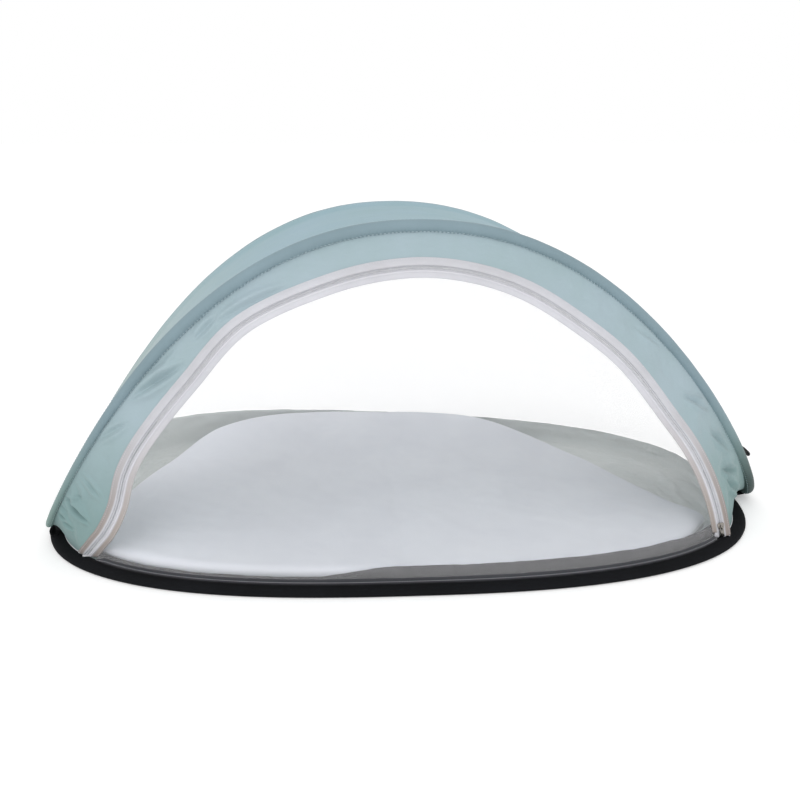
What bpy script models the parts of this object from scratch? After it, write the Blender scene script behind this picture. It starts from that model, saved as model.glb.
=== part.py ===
"""Pop-up baby travel bed: oval base on a steel loop, arched fabric roof and a zipped mesh door.

Units are metres, +X is to the right, +Y to the back and +Z up. The origin is on the ground at the
centre of the base oval, and the underside of the floor sheet lies at Z = 0. The roof is one long
lune of cloth whose edge runs in a sleeve round a second steel loop, which bends it into an arch.
"""

import math
from functools import lru_cache

import bmesh
import bpy
import numpy as np
from mathutils import Matrix, Vector

# Clearance between pieces that touch on the real bed, and where two cloth edges meet at an angle
GAP = 0.0003
EDGE_GAP = 0.0008

# Base oval, measured to the outer edge of its binding
BASE_HALF_LENGTH = 0.550
BASE_FRONT_DEPTH = 0.298
BASE_REAR_DEPTH = 0.332
BASE_CORNER_POWER = 2.63
BASE_REAR_TAPER = 0.12
BINDING_WIDTH = 0.022
BINDING_HEIGHT = 0.0074
BINDING_TAPE = 0.0010
BINDING_CHAMFER = 0.0014
FLOOR_THICKNESS = 0.0030
FLOOR_RIM_THICKNESS = 0.0017
SEAM_INSET = 0.020

# Steel loops and the tubes that join their ends
WIRE_RADIUS = 0.0015
FERRULE_WALL = 0.0006
FERRULE_LENGTH = 0.030
FERRULE_REACH_SHARE = 0.55
WIRE_END_GAP = 0.0010

# Low side wall that stands just inside the binding
SIDE_WALL_INSET = 0.031
SIDE_WALL_LEAN = 0.002
SIDE_WALL_THICKNESS = 0.0012
REAR_WALL_HEIGHT = 0.048
REAR_WALL_SLOPE_SHARE = 0.038
FRONT_WALL_LEFT_HEIGHT = 0.0125
FRONT_WALL_RIGHT_HEIGHT = 0.0270
FRONT_WALL_STEP = (-0.14, -0.02)
WALL_SIDE_BLEND = 0.16

# Mattress pad
PAD_CLEARANCE = 0.0040
PAD_TOP_HEIGHT = 0.024
PAD_CURL_START = 0.12
PAD_CURL_DEPTH = 0.18
PAD_CURL_HEIGHT = 0.026
PAD_COVER = 0.0008

# Roof: a lune of cloth bent over an arch
ROOF_OVERHANG = 0.005
ROOF_RISE = 0.448
ROOF_SPREAD_POWER = 2.168
ROOF_SHOULDER_POWER = 0.982
ROOF_WIDTH = 0.279
ROOF_LEAN = math.radians(3.5)
ROOF_SKEW = math.radians(5.0)
ROOF_SHIFT_X = 0.022
ROOF_SETBACK = 0.237
ROOF_SLANT_SHARE = -0.037
LEFT_TIP_HEIGHT = 0.029
RIGHT_TIP_HEIGHT = 0.014
ROOF_CLOTH = 0.0012
SLEEVE_RADIUS = 0.0085
SLEEVE_WALL = 0.0012
SLEEVE_SLOT_CLEARANCE = 0.0004
ROOF_TIP_TURN = math.radians(5.0)
ROOF_STATION_SHARE = 0.15
SHEET_EDGE_SHARE = 0.35

# Zip, whose path lies in one upright plane but for its left foot
ZIP_DROP = 0.052
ZIP_SETBACK = 0.105
ZIP_TURN = math.radians(2.58)
ZIP_ARC_RADIUS = 0.420
ZIP_FOOT_INSET = 0.0195
ZIP_FOOT_TILT = math.radians(12.7)
ZIP_ARC_SPAN = math.radians(27.4)
COIL_WIDTH = 0.0044
COIL_THICKNESS = 0.0020
COIL_SPLIT = 0.0012
OUTER_TAPE_WIDTH = 0.0077
INNER_TAPE_WIDTH = 0.0072
TAPE_THICKNESS = 0.0008
STOP_SIZE = (0.0100, 0.0030, 0.0030)
TAPE_END_SIZE = (0.0075, 0.0080, 0.0028)

# Slider and pull tab
SLIDER_REST_ANGLE = math.radians(15.4)
SLIDER_LENGTH = 0.011
SLIDER_WIDTH = 0.010
SLIDER_PLATE = 0.0010
BRIDGE_WIDTH = 0.0012
BRIDGE_POST = 0.0010
BRIDGE_SPAN = 0.0082
BRIDGE_CLEAR_HEIGHT = 0.0015
BAR_SHARE = 0.98
WEB_SHARE = 0.8
PULL_LENGTH = 0.0180
PULL_WIDTH = 0.0062
PULL_THICKNESS = 0.0008
PULL_WINDOW = (0.0024, 0.0064)
PULL_CORNER_SHARE = 0.5

# Cloth walls
WALL_CLOTH = 0.0010
MESH_CLOTH = 0.0008
HEM_THICKNESS = 0.0012
DOOR_HEM_HEIGHT = 0.008
MOST_HEM_SHARE = 0.4
REAR_HEM_HEIGHT = 0.016
REAR_MESH_LIFT = 0.0036
DOOR_HINGE_RISE = 0.0015
DOOR_FOOT_INSETS = (0.008, 0.004)
DOOR_CORNER_HEIGHT = 0.090

# Parts of the front arch that lie over the left foot, the zip and the right foot
BAND_SHARES = (0.0, 0.062, 0.880, 1.0)
BAND_COLUMNS = (5, 42, 8)

# Foot patches and the webbing tab
PATCH_LENGTH = 0.020
LEFT_PATCH_WIDTH = 0.009
TAB_WIDTH = 0.010
TAB_LENGTH = 0.024
TAB_THICKNESS = 0.0020
TAB_STANDOFF = 0.012
TAB_PLACE_SHARE = 0.895

# Number of steps round each shape
BASE_STEPS = 80
ROOF_STEPS = 100
ZIP_STEPS = 52
CORNER_STEPS = 8
SHEET_ROWS = 4
PAD_STEPS = 48
ARCH_SAMPLES = 1001
ZIP_ARC_STEPS = 24
SPLINE_STEPS = 12

# Shape of the zip's arch: shares of the base's half length and of the zip's height, left to right
ZIP_LEFT_FOOT_SHARES = ((-0.835, 0.019), (-0.795, 0.086), (-0.758, 0.149))
ZIP_ARCH_SHARES = (
    (-0.724, 0.235), (-0.693, 0.360), (-0.636, 0.480), (-0.531, 0.645), (-0.391, 0.837),
    (-0.185, 0.956), (-0.018, 1.000), (0.127, 0.989), (0.271, 0.930), (0.407, 0.823), (0.549, 0.674),
)

# Where the band and the rear wall meet the seam on the base: depth of the left and right foot
LEFT_FOOT_Y = -0.100
RIGHT_FOOT_Y = -0.020

# Plan of the pad: shares of the free floor's half length and depth, anticlockwise from the right tip
PAD_PLAN_SHARES = (
    (0.898, -0.485), (0.835, -0.285), (0.752, 0.015), (0.640, 0.400), (0.495, 0.680), (0.310, 0.905),
    (0.105, 0.985), (-0.115, 0.990), (-0.310, 0.990), (-0.470, 0.960), (-0.600, 0.880), (-0.705, 0.740),
    (-0.795, 0.440), (-0.850, 0.140), (-0.880, -0.190), (-0.868, -0.540), (-0.785, -0.800),
    (-0.560, -0.950), (-0.250, -0.990), (0.080, -0.995), (0.390, -0.968), (0.640, -0.880), (0.790, -0.745),
)


# Plain helpers

def smooth_share(value):
    """Share from 0 to 1 that starts and ends gently."""
    value = min(max(value, 0.0), 1.0)
    return value * value * (3.0 - 2.0 * value)


def unit(vectors):
    """Vectors scaled to length one."""
    vectors = np.asarray(vectors, dtype=float)
    return vectors / np.linalg.norm(vectors, axis=-1, keepdims=True)


def lengths_along(points):
    """Distance from the first point to each point of a polyline."""
    steps = np.linalg.norm(np.diff(points, axis=0), axis=1)
    return np.concatenate([[0.0], np.cumsum(steps)])


def resample(points, count):
    """A polyline's points spread evenly over its length."""
    along = lengths_along(points)
    wanted = np.linspace(0.0, along[-1], count)
    return np.stack([np.interp(wanted, along, points[:, axis]) for axis in range(points.shape[1])], axis=1)


def spline(points, steps, closed=False):
    """Smooth curve through the points, with a number of steps between neighbours."""
    points = np.asarray(points, dtype=float)
    if closed:
        padded = np.vstack([points[-1], points, points[:2]])
    else:
        padded = np.vstack([2 * points[0] - points[1], points, 2 * points[-1] - points[-2]])
    curve = []
    for start, first, second, end in zip(padded[:-3], padded[1:-2], padded[2:-1], padded[3:]):
        for step in range(steps):
            t = step / steps
            curve.append(0.5 * (2 * first + (second - start) * t
                                + (2 * start - 5 * first + 4 * second - end) * t ** 2
                                + (3 * first - start - 3 * second + end) * t ** 3))
    if not closed:
        curve.append(points[-1])
    return np.array(curve)


def make_material(name, color, roughness, metallic=0.0):
    """Principled material from a colour, a roughness and a metallic value."""
    material = bpy.data.materials.new(name)
    material.use_nodes = True
    shader = material.node_tree.nodes["Principled BSDF"]
    shader.inputs["Base Color"].default_value = (*color, 1.0)
    shader.inputs["Roughness"].default_value = roughness
    shader.inputs["Metallic"].default_value = metallic
    return material


def make_empty(name, place):
    """Empty that carries the pieces of one moving body, on its joint's axis."""
    empty = bpy.data.objects.new(name, None)
    empty.location = place
    bpy.context.scene.collection.objects.link(empty)
    return empty


def make_piece(name, vertices, faces, material, carrier=None):
    """Object from world-space vertices, carried by an empty where one is given."""
    offset = Vector(carrier.location) if carrier else Vector((0.0, 0.0, 0.0))
    mesh = bpy.data.meshes.new(name)
    mesh.from_pydata([Vector(vertex) - offset for vertex in vertices], [], faces)
    shell = bmesh.new()
    shell.from_mesh(mesh)
    bmesh.ops.recalc_face_normals(shell, faces=shell.faces)
    shell.to_mesh(mesh)
    shell.free()
    mesh.materials.append(material)
    mesh.shade_smooth()
    mesh.set_sharp_from_angle(angle=math.radians(35.0))
    piece = bpy.data.objects.new(name, mesh)
    piece.parent = carrier
    bpy.context.scene.collection.objects.link(piece)
    return piece


def grid_faces(columns, rows, closed, first=0):
    """Triangles of a grid whose vertices are stored row after row."""
    faces = []
    for row in range(rows - 1):
        for column in range(columns if closed else columns - 1):
            beside = (column + 1) % columns
            a = first + row * columns + column
            b = first + row * columns + beside
            c = first + (row + 1) * columns + beside
            d = first + (row + 1) * columns + column
            faces += [(a, b, c), (a, c, d)]
    return faces


def sweep(name, places, sides, ups, section, material, closed=True, carrier=None):
    """Solid swept along a path: section points are (side, up) distances at each station."""
    vertices = []
    for place, side, up in zip(places, sides, ups):
        vertices += [place + a * side + b * up for a, b in section]
    count = len(section)
    stations = len(places)
    faces = grid_faces(count, stations, True)
    if closed:
        last = (stations - 1) * count
        for index in range(count):
            beside = (index + 1) % count
            faces += [(last + index, last + beside, beside), (last + index, beside, index)]
    else:
        faces.append(tuple(range(count)))
        faces.append(tuple(range((stations - 1) * count, stations * count)))
    return make_piece(name, vertices, faces, material, carrier)


def sheet_normals(rows):
    """Unit normals of a grid of points."""
    along = np.gradient(rows, axis=1)
    across = np.gradient(rows, axis=0)
    return unit(np.cross(along, across))


def sheet(name, rows, thickness, material, carrier=None, normals=None):
    """Thin closed solid on both sides of a grid of points."""
    rows = np.asarray(rows, dtype=float)
    if normals is None:
        normals = sheet_normals(rows)
    height, width = rows.shape[:2]
    front = (rows + normals * thickness / 2).reshape(-1, 3)
    back = (rows - normals * thickness / 2).reshape(-1, 3)
    total = height * width
    faces = grid_faces(width, height, False) + grid_faces(width, height, False, total)
    rim = [column for column in range(width)]
    rim += [row * width + width - 1 for row in range(1, height)]
    rim += [(height - 1) * width + column for column in range(width - 2, -1, -1)]
    rim += [row * width for row in range(height - 2, 0, -1)]
    for here, beside in zip(rim, rim[1:] + rim[:1]):
        faces += [(here, beside, beside + total), (here, beside + total, here + total)]
    return make_piece(name, np.vstack([front, back]), faces, material, carrier)


def box_mesh(corner_low, corner_high):
    """Vertices and faces of a box between two corners."""
    (x0, y0, z0), (x1, y1, z1) = corner_low, corner_high
    vertices = [(x, y, z) for x in (x0, x1) for y in (y0, y1) for z in (z0, z1)]
    faces = [(0, 1, 3, 2), (4, 6, 7, 5), (0, 4, 5, 1), (2, 3, 7, 6), (0, 2, 6, 4), (1, 5, 7, 3)]
    return vertices, faces


def fuse_boxes(name, boxes, frame, material, carrier):
    """One solid from overlapping boxes, placed in the world by a 4 x 4 frame."""
    pieces = []
    for number, (corner_low, corner_high) in enumerate(boxes):
        vertices, faces = box_mesh(corner_low, corner_high)
        placed = [frame @ Vector(vertex) for vertex in vertices]
        label = name if number == 0 else f"{name}_part_{number}"
        pieces.append(make_piece(label, placed, faces, material, carrier))
    for helper in pieces[1:]:
        helper.hide_render = True
        helper.display_type = "WIRE"
        union = pieces[0].modifiers.new("union", "BOOLEAN")
        union.operation = "UNION"
        union.object = helper
    return pieces[0]


# Curves that several pieces share

def base_outline(inset):
    """Closed base oval, moved inwards by an inset, with the inward direction at each point."""
    turn = np.linspace(0.0, 2 * np.pi, 4000, endpoint=False)
    power = 2.0 / BASE_CORNER_POWER
    x = BASE_HALF_LENGTH * np.sign(np.cos(turn)) * np.abs(np.cos(turn)) ** power
    depth = np.where(np.sin(turn) < 0, BASE_FRONT_DEPTH, BASE_REAR_DEPTH)
    taper = np.where(np.sin(turn) < 0, 0.0, BASE_REAR_TAPER)
    y = depth * np.sign(np.sin(turn)) * np.abs(np.sin(turn)) ** power * (1 - taper * x / BASE_HALF_LENGTH)
    outline = np.stack([x, y], axis=1)
    ring = resample(np.vstack([outline, outline[:1]]), 2001)[:-1]
    ahead = np.roll(ring, -1, axis=0) - np.roll(ring, 1, axis=0)
    inward = unit(np.stack([-ahead[:, 1], ahead[:, 0]], axis=1))
    return ring + inset * inward, inward


def base_stations(steps, start_share=0.0):
    """Evenly spread stations on the outer edge of the base, with their inward directions."""
    ring, inward = base_outline(0.0)
    chosen = (np.arange(steps) / steps + start_share) * len(ring)
    chosen = np.round(chosen).astype(int) % len(ring)
    places = np.column_stack([ring[chosen], np.zeros(steps)])
    sides = np.column_stack([inward[chosen], np.zeros(steps)])
    return places, sides


def base_run(inset, start, end, count, height):
    """Anticlockwise run of the inset oval between the points nearest to start and end."""
    ring, _ = base_outline(inset)
    first = int(np.argmin(np.linalg.norm(ring - np.asarray(start)[:2], axis=1)))
    last = int(np.argmin(np.linalg.norm(ring - np.asarray(end)[:2], axis=1)))
    if last <= first:
        last += len(ring)
    run = ring[np.arange(first, last + 1) % len(ring)]
    return resample(np.column_stack([run, np.full(len(run), height)]), count)


def base_edge_depth(x, inset):
    """Depth of the oval's front edge at a given x."""
    ring, _ = base_outline(inset)
    front = ring[ring[:, 1] < 0]
    order = np.argsort(front[:, 0])
    return float(np.interp(x, front[order, 0], front[order, 1]))


def side_wall_height(x, y):
    """Height of the low side wall's top edge above the ground."""
    rear = REAR_WALL_HEIGHT - REAR_WALL_SLOPE_SHARE * x
    low, high = FRONT_WALL_STEP
    climb = smooth_share((x - low) / (high - low))
    front = FRONT_WALL_LEFT_HEIGHT + (FRONT_WALL_RIGHT_HEIGHT - FRONT_WALL_LEFT_HEIGHT) * climb
    share = smooth_share(y / WALL_SIDE_BLEND + 0.5)
    return rear * share + front * (1 - share)


def arch_profile():
    """Arch of the roof in its own plane: distance along it, x and height."""
    half_span = BASE_HALF_LENGTH + ROOF_OVERHANG
    x = half_span * np.sin(np.linspace(-np.pi / 2, np.pi / 2, 2001))
    share = np.clip(1 - np.abs(x / half_span) ** ROOF_SPREAD_POWER, 0.0, 1.0)
    z = ROOF_RISE * share ** ROOF_SHOULDER_POWER
    along = lengths_along(np.stack([x, z], axis=1))
    return along - along[-1] / 2, x, z


def roof_to_world(x, across, z):
    """Arch coordinates turned, leaned and set down on the base."""
    half_span = BASE_HALF_LENGTH + ROOF_OVERHANG
    y = across + z * math.tan(ROOF_LEAN)
    rise = LEFT_TIP_HEIGHT + (RIGHT_TIP_HEIGHT - LEFT_TIP_HEIGHT) * (x + half_span) / (2 * half_span)
    world_x = x * math.cos(ROOF_SKEW) - y * math.sin(ROOF_SKEW) + ROOF_SHIFT_X + ROOF_SLANT_SHARE * z
    world_y = x * math.sin(ROOF_SKEW) + y * math.cos(ROOF_SKEW) + ROOF_SETBACK - BASE_FRONT_DEPTH
    return np.stack([world_x, world_y, z + rise], axis=-1)


def roof_stations():
    """Stations round the roof's edge: place, inward side and outward normal.

    The first station is the left tip, and the first half of them runs over the front arch.
    """
    turn = np.linspace(0.0, 2 * np.pi, ROOF_STEPS, endpoint=False)
    turn = turn + ROOF_STATION_SHARE * np.sin(2 * turn)
    return roof_frames(turn)


def roof_frames(turn):
    """Frames of the roof's edge at the given turns round the lune."""
    along, x, z = arch_profile()
    half_length = along[-1]
    distance = -half_length * np.cos(turn)
    across = -ROOF_WIDTH / 2 * np.sin(turn)
    places = roof_to_world(np.interp(distance, along, x), across, np.interp(distance, along, z))
    nearby = 0.0005
    step_distance = np.clip(distance + nearby, -half_length, half_length)
    back_distance = np.clip(distance - nearby, -half_length, half_length)
    ahead = roof_to_world(np.interp(step_distance, along, x), across, np.interp(step_distance, along, z))
    behind = roof_to_world(np.interp(back_distance, along, x), across, np.interp(back_distance, along, z))
    lengthwise = unit(ahead - behind)
    origin = roof_to_world(x[:1], np.array([0.0]), z[:1])
    crosswise = unit(roof_to_world(x[:1], np.array([1.0]), z[:1]) - origin)
    crosswise = np.repeat(crosswise, len(turn), axis=0)
    normals = unit(np.cross(lengthwise, crosswise))
    headings = (lengthwise * (half_length * np.sin(turn))[:, None]
                - crosswise * (ROOF_WIDTH / 2 * np.cos(turn))[:, None])
    headings = unit(headings)
    sides = unit(np.cross(normals, headings))
    return places, sides, normals


def arch_edge(front, count):
    """Evenly spread points of the front or rear arch, from just off the left tip to the right."""
    turn = np.linspace(ROOF_TIP_TURN, np.pi - ROOF_TIP_TURN, ARCH_SAMPLES)
    places = roof_frames(turn if front else -turn)[0]
    return resample(places, count)


def zip_plane_point(along, height):
    """World point of the zip's upright plane."""
    return np.array([along * math.cos(ZIP_TURN),
                     ZIP_SETBACK - BASE_FRONT_DEPTH + along * math.sin(ZIP_TURN), height])


def zip_front():
    """Direction that the zip faces."""
    return np.array([math.sin(ZIP_TURN), -math.cos(ZIP_TURN), 0.0])


@lru_cache(maxsize=None)
def zip_foot_reach():
    """Distance in the zip's plane at which the plane meets the seam on the base, at the right."""
    near, far = 0.5 * BASE_HALF_LENGTH, BASE_HALF_LENGTH
    while far - near > 1e-7:
        middle = (near + far) / 2
        x, y, _ = zip_plane_point(middle, 0.0)
        if y > base_edge_depth(x, ZIP_FOOT_INSET):
            near = middle
        else:
            far = middle
    return near


def zip_arc_centre():
    """Centre of the arc of the zip's right foot: distance in the zip's plane, and height."""
    foot_height = BINDING_HEIGHT + GAP
    return (zip_foot_reach() - ZIP_ARC_RADIUS * math.cos(ZIP_FOOT_TILT),
            foot_height - ZIP_ARC_RADIUS * math.sin(ZIP_FOOT_TILT))


def zip_arc_point(angle, radius=ZIP_ARC_RADIUS):
    """World point on the right foot's arc."""
    centre_along, centre_height = zip_arc_centre()
    return zip_plane_point(centre_along + radius * math.cos(angle), centre_height + radius * math.sin(angle))


def zip_path():
    """Centre line of the zip from its left foot over the crown to its right foot."""
    crown = roof_to_world(np.array([0.0]), np.array([-ROOF_WIDTH / 2]), np.array([ROOF_RISE]))[0][2]
    height = crown - ZIP_DROP
    points = []
    for share_x, share_z in ZIP_LEFT_FOOT_SHARES:
        x = share_x * BASE_HALF_LENGTH
        points.append((x, base_edge_depth(x, SEAM_INSET), share_z * height))
    for share_x, share_z in ZIP_ARCH_SHARES:
        points.append(zip_plane_point(share_x * BASE_HALF_LENGTH / math.cos(ZIP_TURN), share_z * height))
    top = ZIP_FOOT_TILT + ZIP_ARC_SPAN
    angles = np.linspace(top, ZIP_FOOT_TILT, ZIP_ARC_STEPS)
    arc = np.array([zip_arc_point(angle) for angle in angles])
    lead = spline(np.vstack([points, arc[:1]]), SPLINE_STEPS)
    return np.vstack([lead[:-1], arc])


def cut_line(line, start, end, count):
    """Evenly spread points of a line between two distances along it."""
    along = lengths_along(line)
    wanted = np.linspace(start, end, count)
    return np.stack([np.interp(wanted, along, line[:, axis]) for axis in range(3)], axis=1)


def zip_side_line(offset):
    """Line beside the zip's centre line, with its distances on the left and on the right half."""
    path = zip_path()
    heading = unit(np.gradient(path, axis=0))
    outward = unit(np.cross(zip_front(), heading))
    line = path + offset * outward
    return line, lengths_along(line), len(line) // 2


def zip_edge(offset, left_height, right_height, count=ZIP_STEPS):
    """Line beside the zip's centre line, cut at a height over its left and its right foot."""
    line, along, middle = zip_side_line(offset)
    start = np.interp(left_height, line[:middle, 2], along[:middle])
    end = np.interp(-right_height, -line[middle:, 2], along[middle:])
    return cut_line(line, start, end, count)


def zip_corner_edge(offset, low, high):
    """Part of the line beside the zip that lies between two heights over its left foot."""
    line, along, middle = zip_side_line(offset)
    start, end = np.interp((low, high), line[:middle, 2], along[:middle])
    return cut_line(line, start, end, CORNER_STEPS)


def ruled(first, second, low, high, rows):
    """Rows of points between two lines, from one share of the way to another."""
    shares = np.linspace(low, high, rows)[:, None, None]
    return first[None] * (1 - shares) + second[None] * shares


def clear_of_sleeve(arch, lower):
    """Points of an arch moved square to it, just past the sleeve, towards a lower line."""
    heading = unit(np.gradient(arch, axis=0))
    across = lower - arch
    across = unit(across - heading * np.sum(across * heading, axis=1, keepdims=True))
    return arch + across * (SLEEVE_RADIUS + EDGE_GAP)


def move_along(first, second, distance):
    """Points moved from the first line towards the second by a distance."""
    return first + unit(second - first) * distance


# Materials

def make_materials():
    """One material for each finish of the bed."""
    return {
        "roof_cloth": make_material("roof cloth", (0.37, 0.50, 0.53), 0.75),
        "band_cloth": make_material("band cloth", (0.43, 0.54, 0.58), 0.75),
        "floor_cloth": make_material("floor cloth", (0.38, 0.42, 0.42), 0.70),
        "wall_cloth": make_material("side wall cloth", (0.30, 0.33, 0.33), 0.70),
        "binding_tape": make_material("binding tape", (0.012, 0.013, 0.015), 0.85),
        "pad_cloth": make_material("pad cloth", (0.62, 0.63, 0.66), 0.85),
        "wadding": make_material("wadding", (0.80, 0.80, 0.80), 0.95),
        "mesh_cloth": make_material("mesh cloth", (0.85, 0.86, 0.87), 0.60),
        "zip_tape": make_material("zip tape", (0.60, 0.58, 0.60), 0.80),
        "zip_coil": make_material("zip coil", (0.75, 0.76, 0.78), 0.45),
        "webbing": make_material("webbing", (0.010, 0.010, 0.011), 0.85),
        "spring_steel": make_material("spring steel", (0.55, 0.56, 0.58), 0.35, 1.0),
        "nickel": make_material("nickel plate", (0.45, 0.44, 0.42), 0.30, 1.0),
    }


# Base

def build_base(finish):
    """Binding, base wire and its ferrule, floor sheet and the low side wall."""
    places, sides = base_stations(BASE_STEPS)
    ups = np.tile((0.0, 0.0, 1.0), (BASE_STEPS, 1))
    width, height, tape, chamfer = BINDING_WIDTH, BINDING_HEIGHT, BINDING_TAPE, BINDING_CHAMFER
    channel = [(chamfer, 0.0), (width, 0.0), (width, tape), (tape, tape), (tape, height - tape),
               (width, height - tape), (width, height), (chamfer, height), (0.0, height - chamfer),
               (0.0, chamfer)]
    sweep("base_binding", places, sides, ups, channel, finish["binding_tape"])

    ferrule_radius = WIRE_RADIUS + GAP + FERRULE_WALL
    wire_inset = tape + GAP + ferrule_radius
    wire_height = height / 2
    build_wire("base", base_wire_path(wire_inset, wire_height), finish)

    rim_inset = wire_inset + ferrule_radius + GAP
    rim_low = FLOOR_THICKNESS - FLOOR_RIM_THICKNESS
    step_inset = width + GAP
    rings = [(step_inset, 0.0), (step_inset, rim_low), (rim_inset, rim_low), (rim_inset, FLOOR_THICKNESS)]
    vertices = [place + inset * side + level * up
                for inset, level in rings for place, side, up in zip(places, sides, ups)]
    faces = grid_faces(BASE_STEPS, len(rings), True)
    faces.append(tuple(range(BASE_STEPS)))
    faces.append(tuple(range((len(rings) - 1) * BASE_STEPS, len(rings) * BASE_STEPS)))
    make_piece("floor_sheet", vertices, faces, finish["floor_cloth"])

    build_side_wall(places, sides, finish)


def base_wire_path(inset, height):
    """Path of the base wire, from one end round the oval to the other end, both at the back."""
    places, sides = base_stations(BASE_STEPS, 0.25)
    line = places + sides * inset + np.array((0.0, 0.0, height))
    return np.vstack([line, line[:1]])


def build_wire(label, line, finish):
    """Round wire along a line whose two ends meet inside a straight ferrule."""
    start = (line[0] + line[-1]) / 2
    heading = unit(line[1] - line[-2])
    first = start + heading * WIRE_END_GAP / 2
    last = start - heading * WIRE_END_GAP / 2
    lead = start + heading * FERRULE_LENGTH * FERRULE_REACH_SHARE
    trail = start - heading * FERRULE_LENGTH * FERRULE_REACH_SHARE
    line = np.vstack([first, lead, line[1:-1], trail, last])
    headings = unit(np.gradient(line, axis=0))
    headings[[0, 1, -2, -1]] = heading
    helper = np.tile(wire_side(label), (len(line), 1))
    sides = unit(np.cross(headings, helper))
    ups = unit(np.cross(sides, headings))
    circle = [(WIRE_RADIUS * math.cos(angle), WIRE_RADIUS * math.sin(angle))
              for angle in np.arange(6) * math.pi / 3]
    sweep(f"{label}_wire", line, sides, ups, circle, finish["spring_steel"], closed=False)
    build_ferrule(f"{label}_ferrule", start, heading, finish)


def wire_side(label):
    """Direction that is never along the wire, from which its sides are worked out."""
    return (0.0, 0.0, 1.0) if label == "base" else (0.0, 1.0, 0.0)


def build_ferrule(name, centre, heading, finish):
    """Short open tube over the wire's two ends."""
    bore = WIRE_RADIUS + GAP
    outer = bore + FERRULE_WALL
    half = FERRULE_LENGTH / 2
    turn = Vector(heading).to_track_quat("Z", "Y").to_matrix().to_4x4()
    frame = Matrix.Translation(Vector(centre)) @ turn
    sides = 12
    rings = [(outer, -half), (outer, half), (bore, half), (bore, -half)]
    vertices = []
    for radius, level in rings:
        for step in range(sides):
            angle = 2 * math.pi * step / sides
            vertices.append(frame @ Vector((radius * math.cos(angle), radius * math.sin(angle), level)))
    faces = grid_faces(sides, len(rings), True)
    last = (len(rings) - 1) * sides
    for step in range(sides):
        beside = (step + 1) % sides
        faces += [(last + step, last + beside, beside), (last + step, beside, step)]
    make_piece(name, vertices, faces, finish["spring_steel"])


def build_side_wall(places, sides, finish):
    """Strip of floor cloth turned up inside the binding, higher at the back than at the front."""
    low = FLOOR_THICKNESS + GAP
    vertices = []
    for place, side in zip(places, sides):
        top = side_wall_height(place[0], place[1])
        foot = place + side * SIDE_WALL_INSET
        head = place + side * (SIDE_WALL_INSET + SIDE_WALL_LEAN)
        for point, level in ((foot, low), (foot + side * SIDE_WALL_THICKNESS, low),
                             (head + side * SIDE_WALL_THICKNESS, top), (head, top)):
            vertices.append((point[0], point[1], level))
    faces = grid_faces(4, len(places), True)
    last = (len(places) - 1) * 4
    for index in range(4):
        beside = (index + 1) % 4
        faces += [(last + index, last + beside, beside), (last + index, beside, index)]
    make_piece("floor_wall", vertices, faces, finish["wall_cloth"])


# Mattress pad

def within_oval(point, inset):
    """Point drawn in to the base oval less an inset, where it lies outside."""
    x, y = point
    depth = BASE_FRONT_DEPTH if y < 0 else BASE_REAR_DEPTH * (1 - BASE_REAR_TAPER * x / BASE_HALF_LENGTH)
    level = (abs(x) / (BASE_HALF_LENGTH - inset)) ** BASE_CORNER_POWER
    level += (abs(y) / (depth - inset)) ** BASE_CORNER_POWER
    return np.array(point) / max(level, 1.0) ** (1 / BASE_CORNER_POWER)


def pad_surface():
    """Rings of the filling's top, from its foot up the side and in to the middle."""
    inset = SIDE_WALL_INSET + SIDE_WALL_LEAN + SIDE_WALL_THICKNESS + PAD_CLEARANCE
    plan = []
    for share_x, share_y in PAD_PLAN_SHARES:
        depth = BASE_FRONT_DEPTH if share_y < 0 else BASE_REAR_DEPTH
        plan.append((share_x * (BASE_HALF_LENGTH - inset), share_y * (depth - inset)))
    plan = np.array([within_oval(point, inset) for point in spline(plan, 10, closed=True)])
    outline = resample(np.vstack([plan, plan[:1]]), PAD_STEPS + 1)[:-1]
    middle = outline.mean(axis=0)
    foot = FLOOR_THICKNESS + 2 * GAP + PAD_COVER + GAP
    rings = [(1.0, 0.0), (1.0, 0.45), (0.985, 0.80), (0.95, 1.0), (0.80, 1.0), (0.45, 1.0)]
    surface = []
    for share, rise in rings:
        ring = middle + (outline - middle) * share
        row = []
        for (x, y), (edge_x, edge_y) in zip(ring, outline):
            curl = smooth_share((y - PAD_CURL_START) / PAD_CURL_DEPTH) * PAD_CURL_HEIGHT
            row.append((x, y, foot + (PAD_TOP_HEIGHT + curl - foot) * rise))
        surface.append(row)
    return np.array(surface), np.array((*middle, PAD_TOP_HEIGHT)), foot


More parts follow.
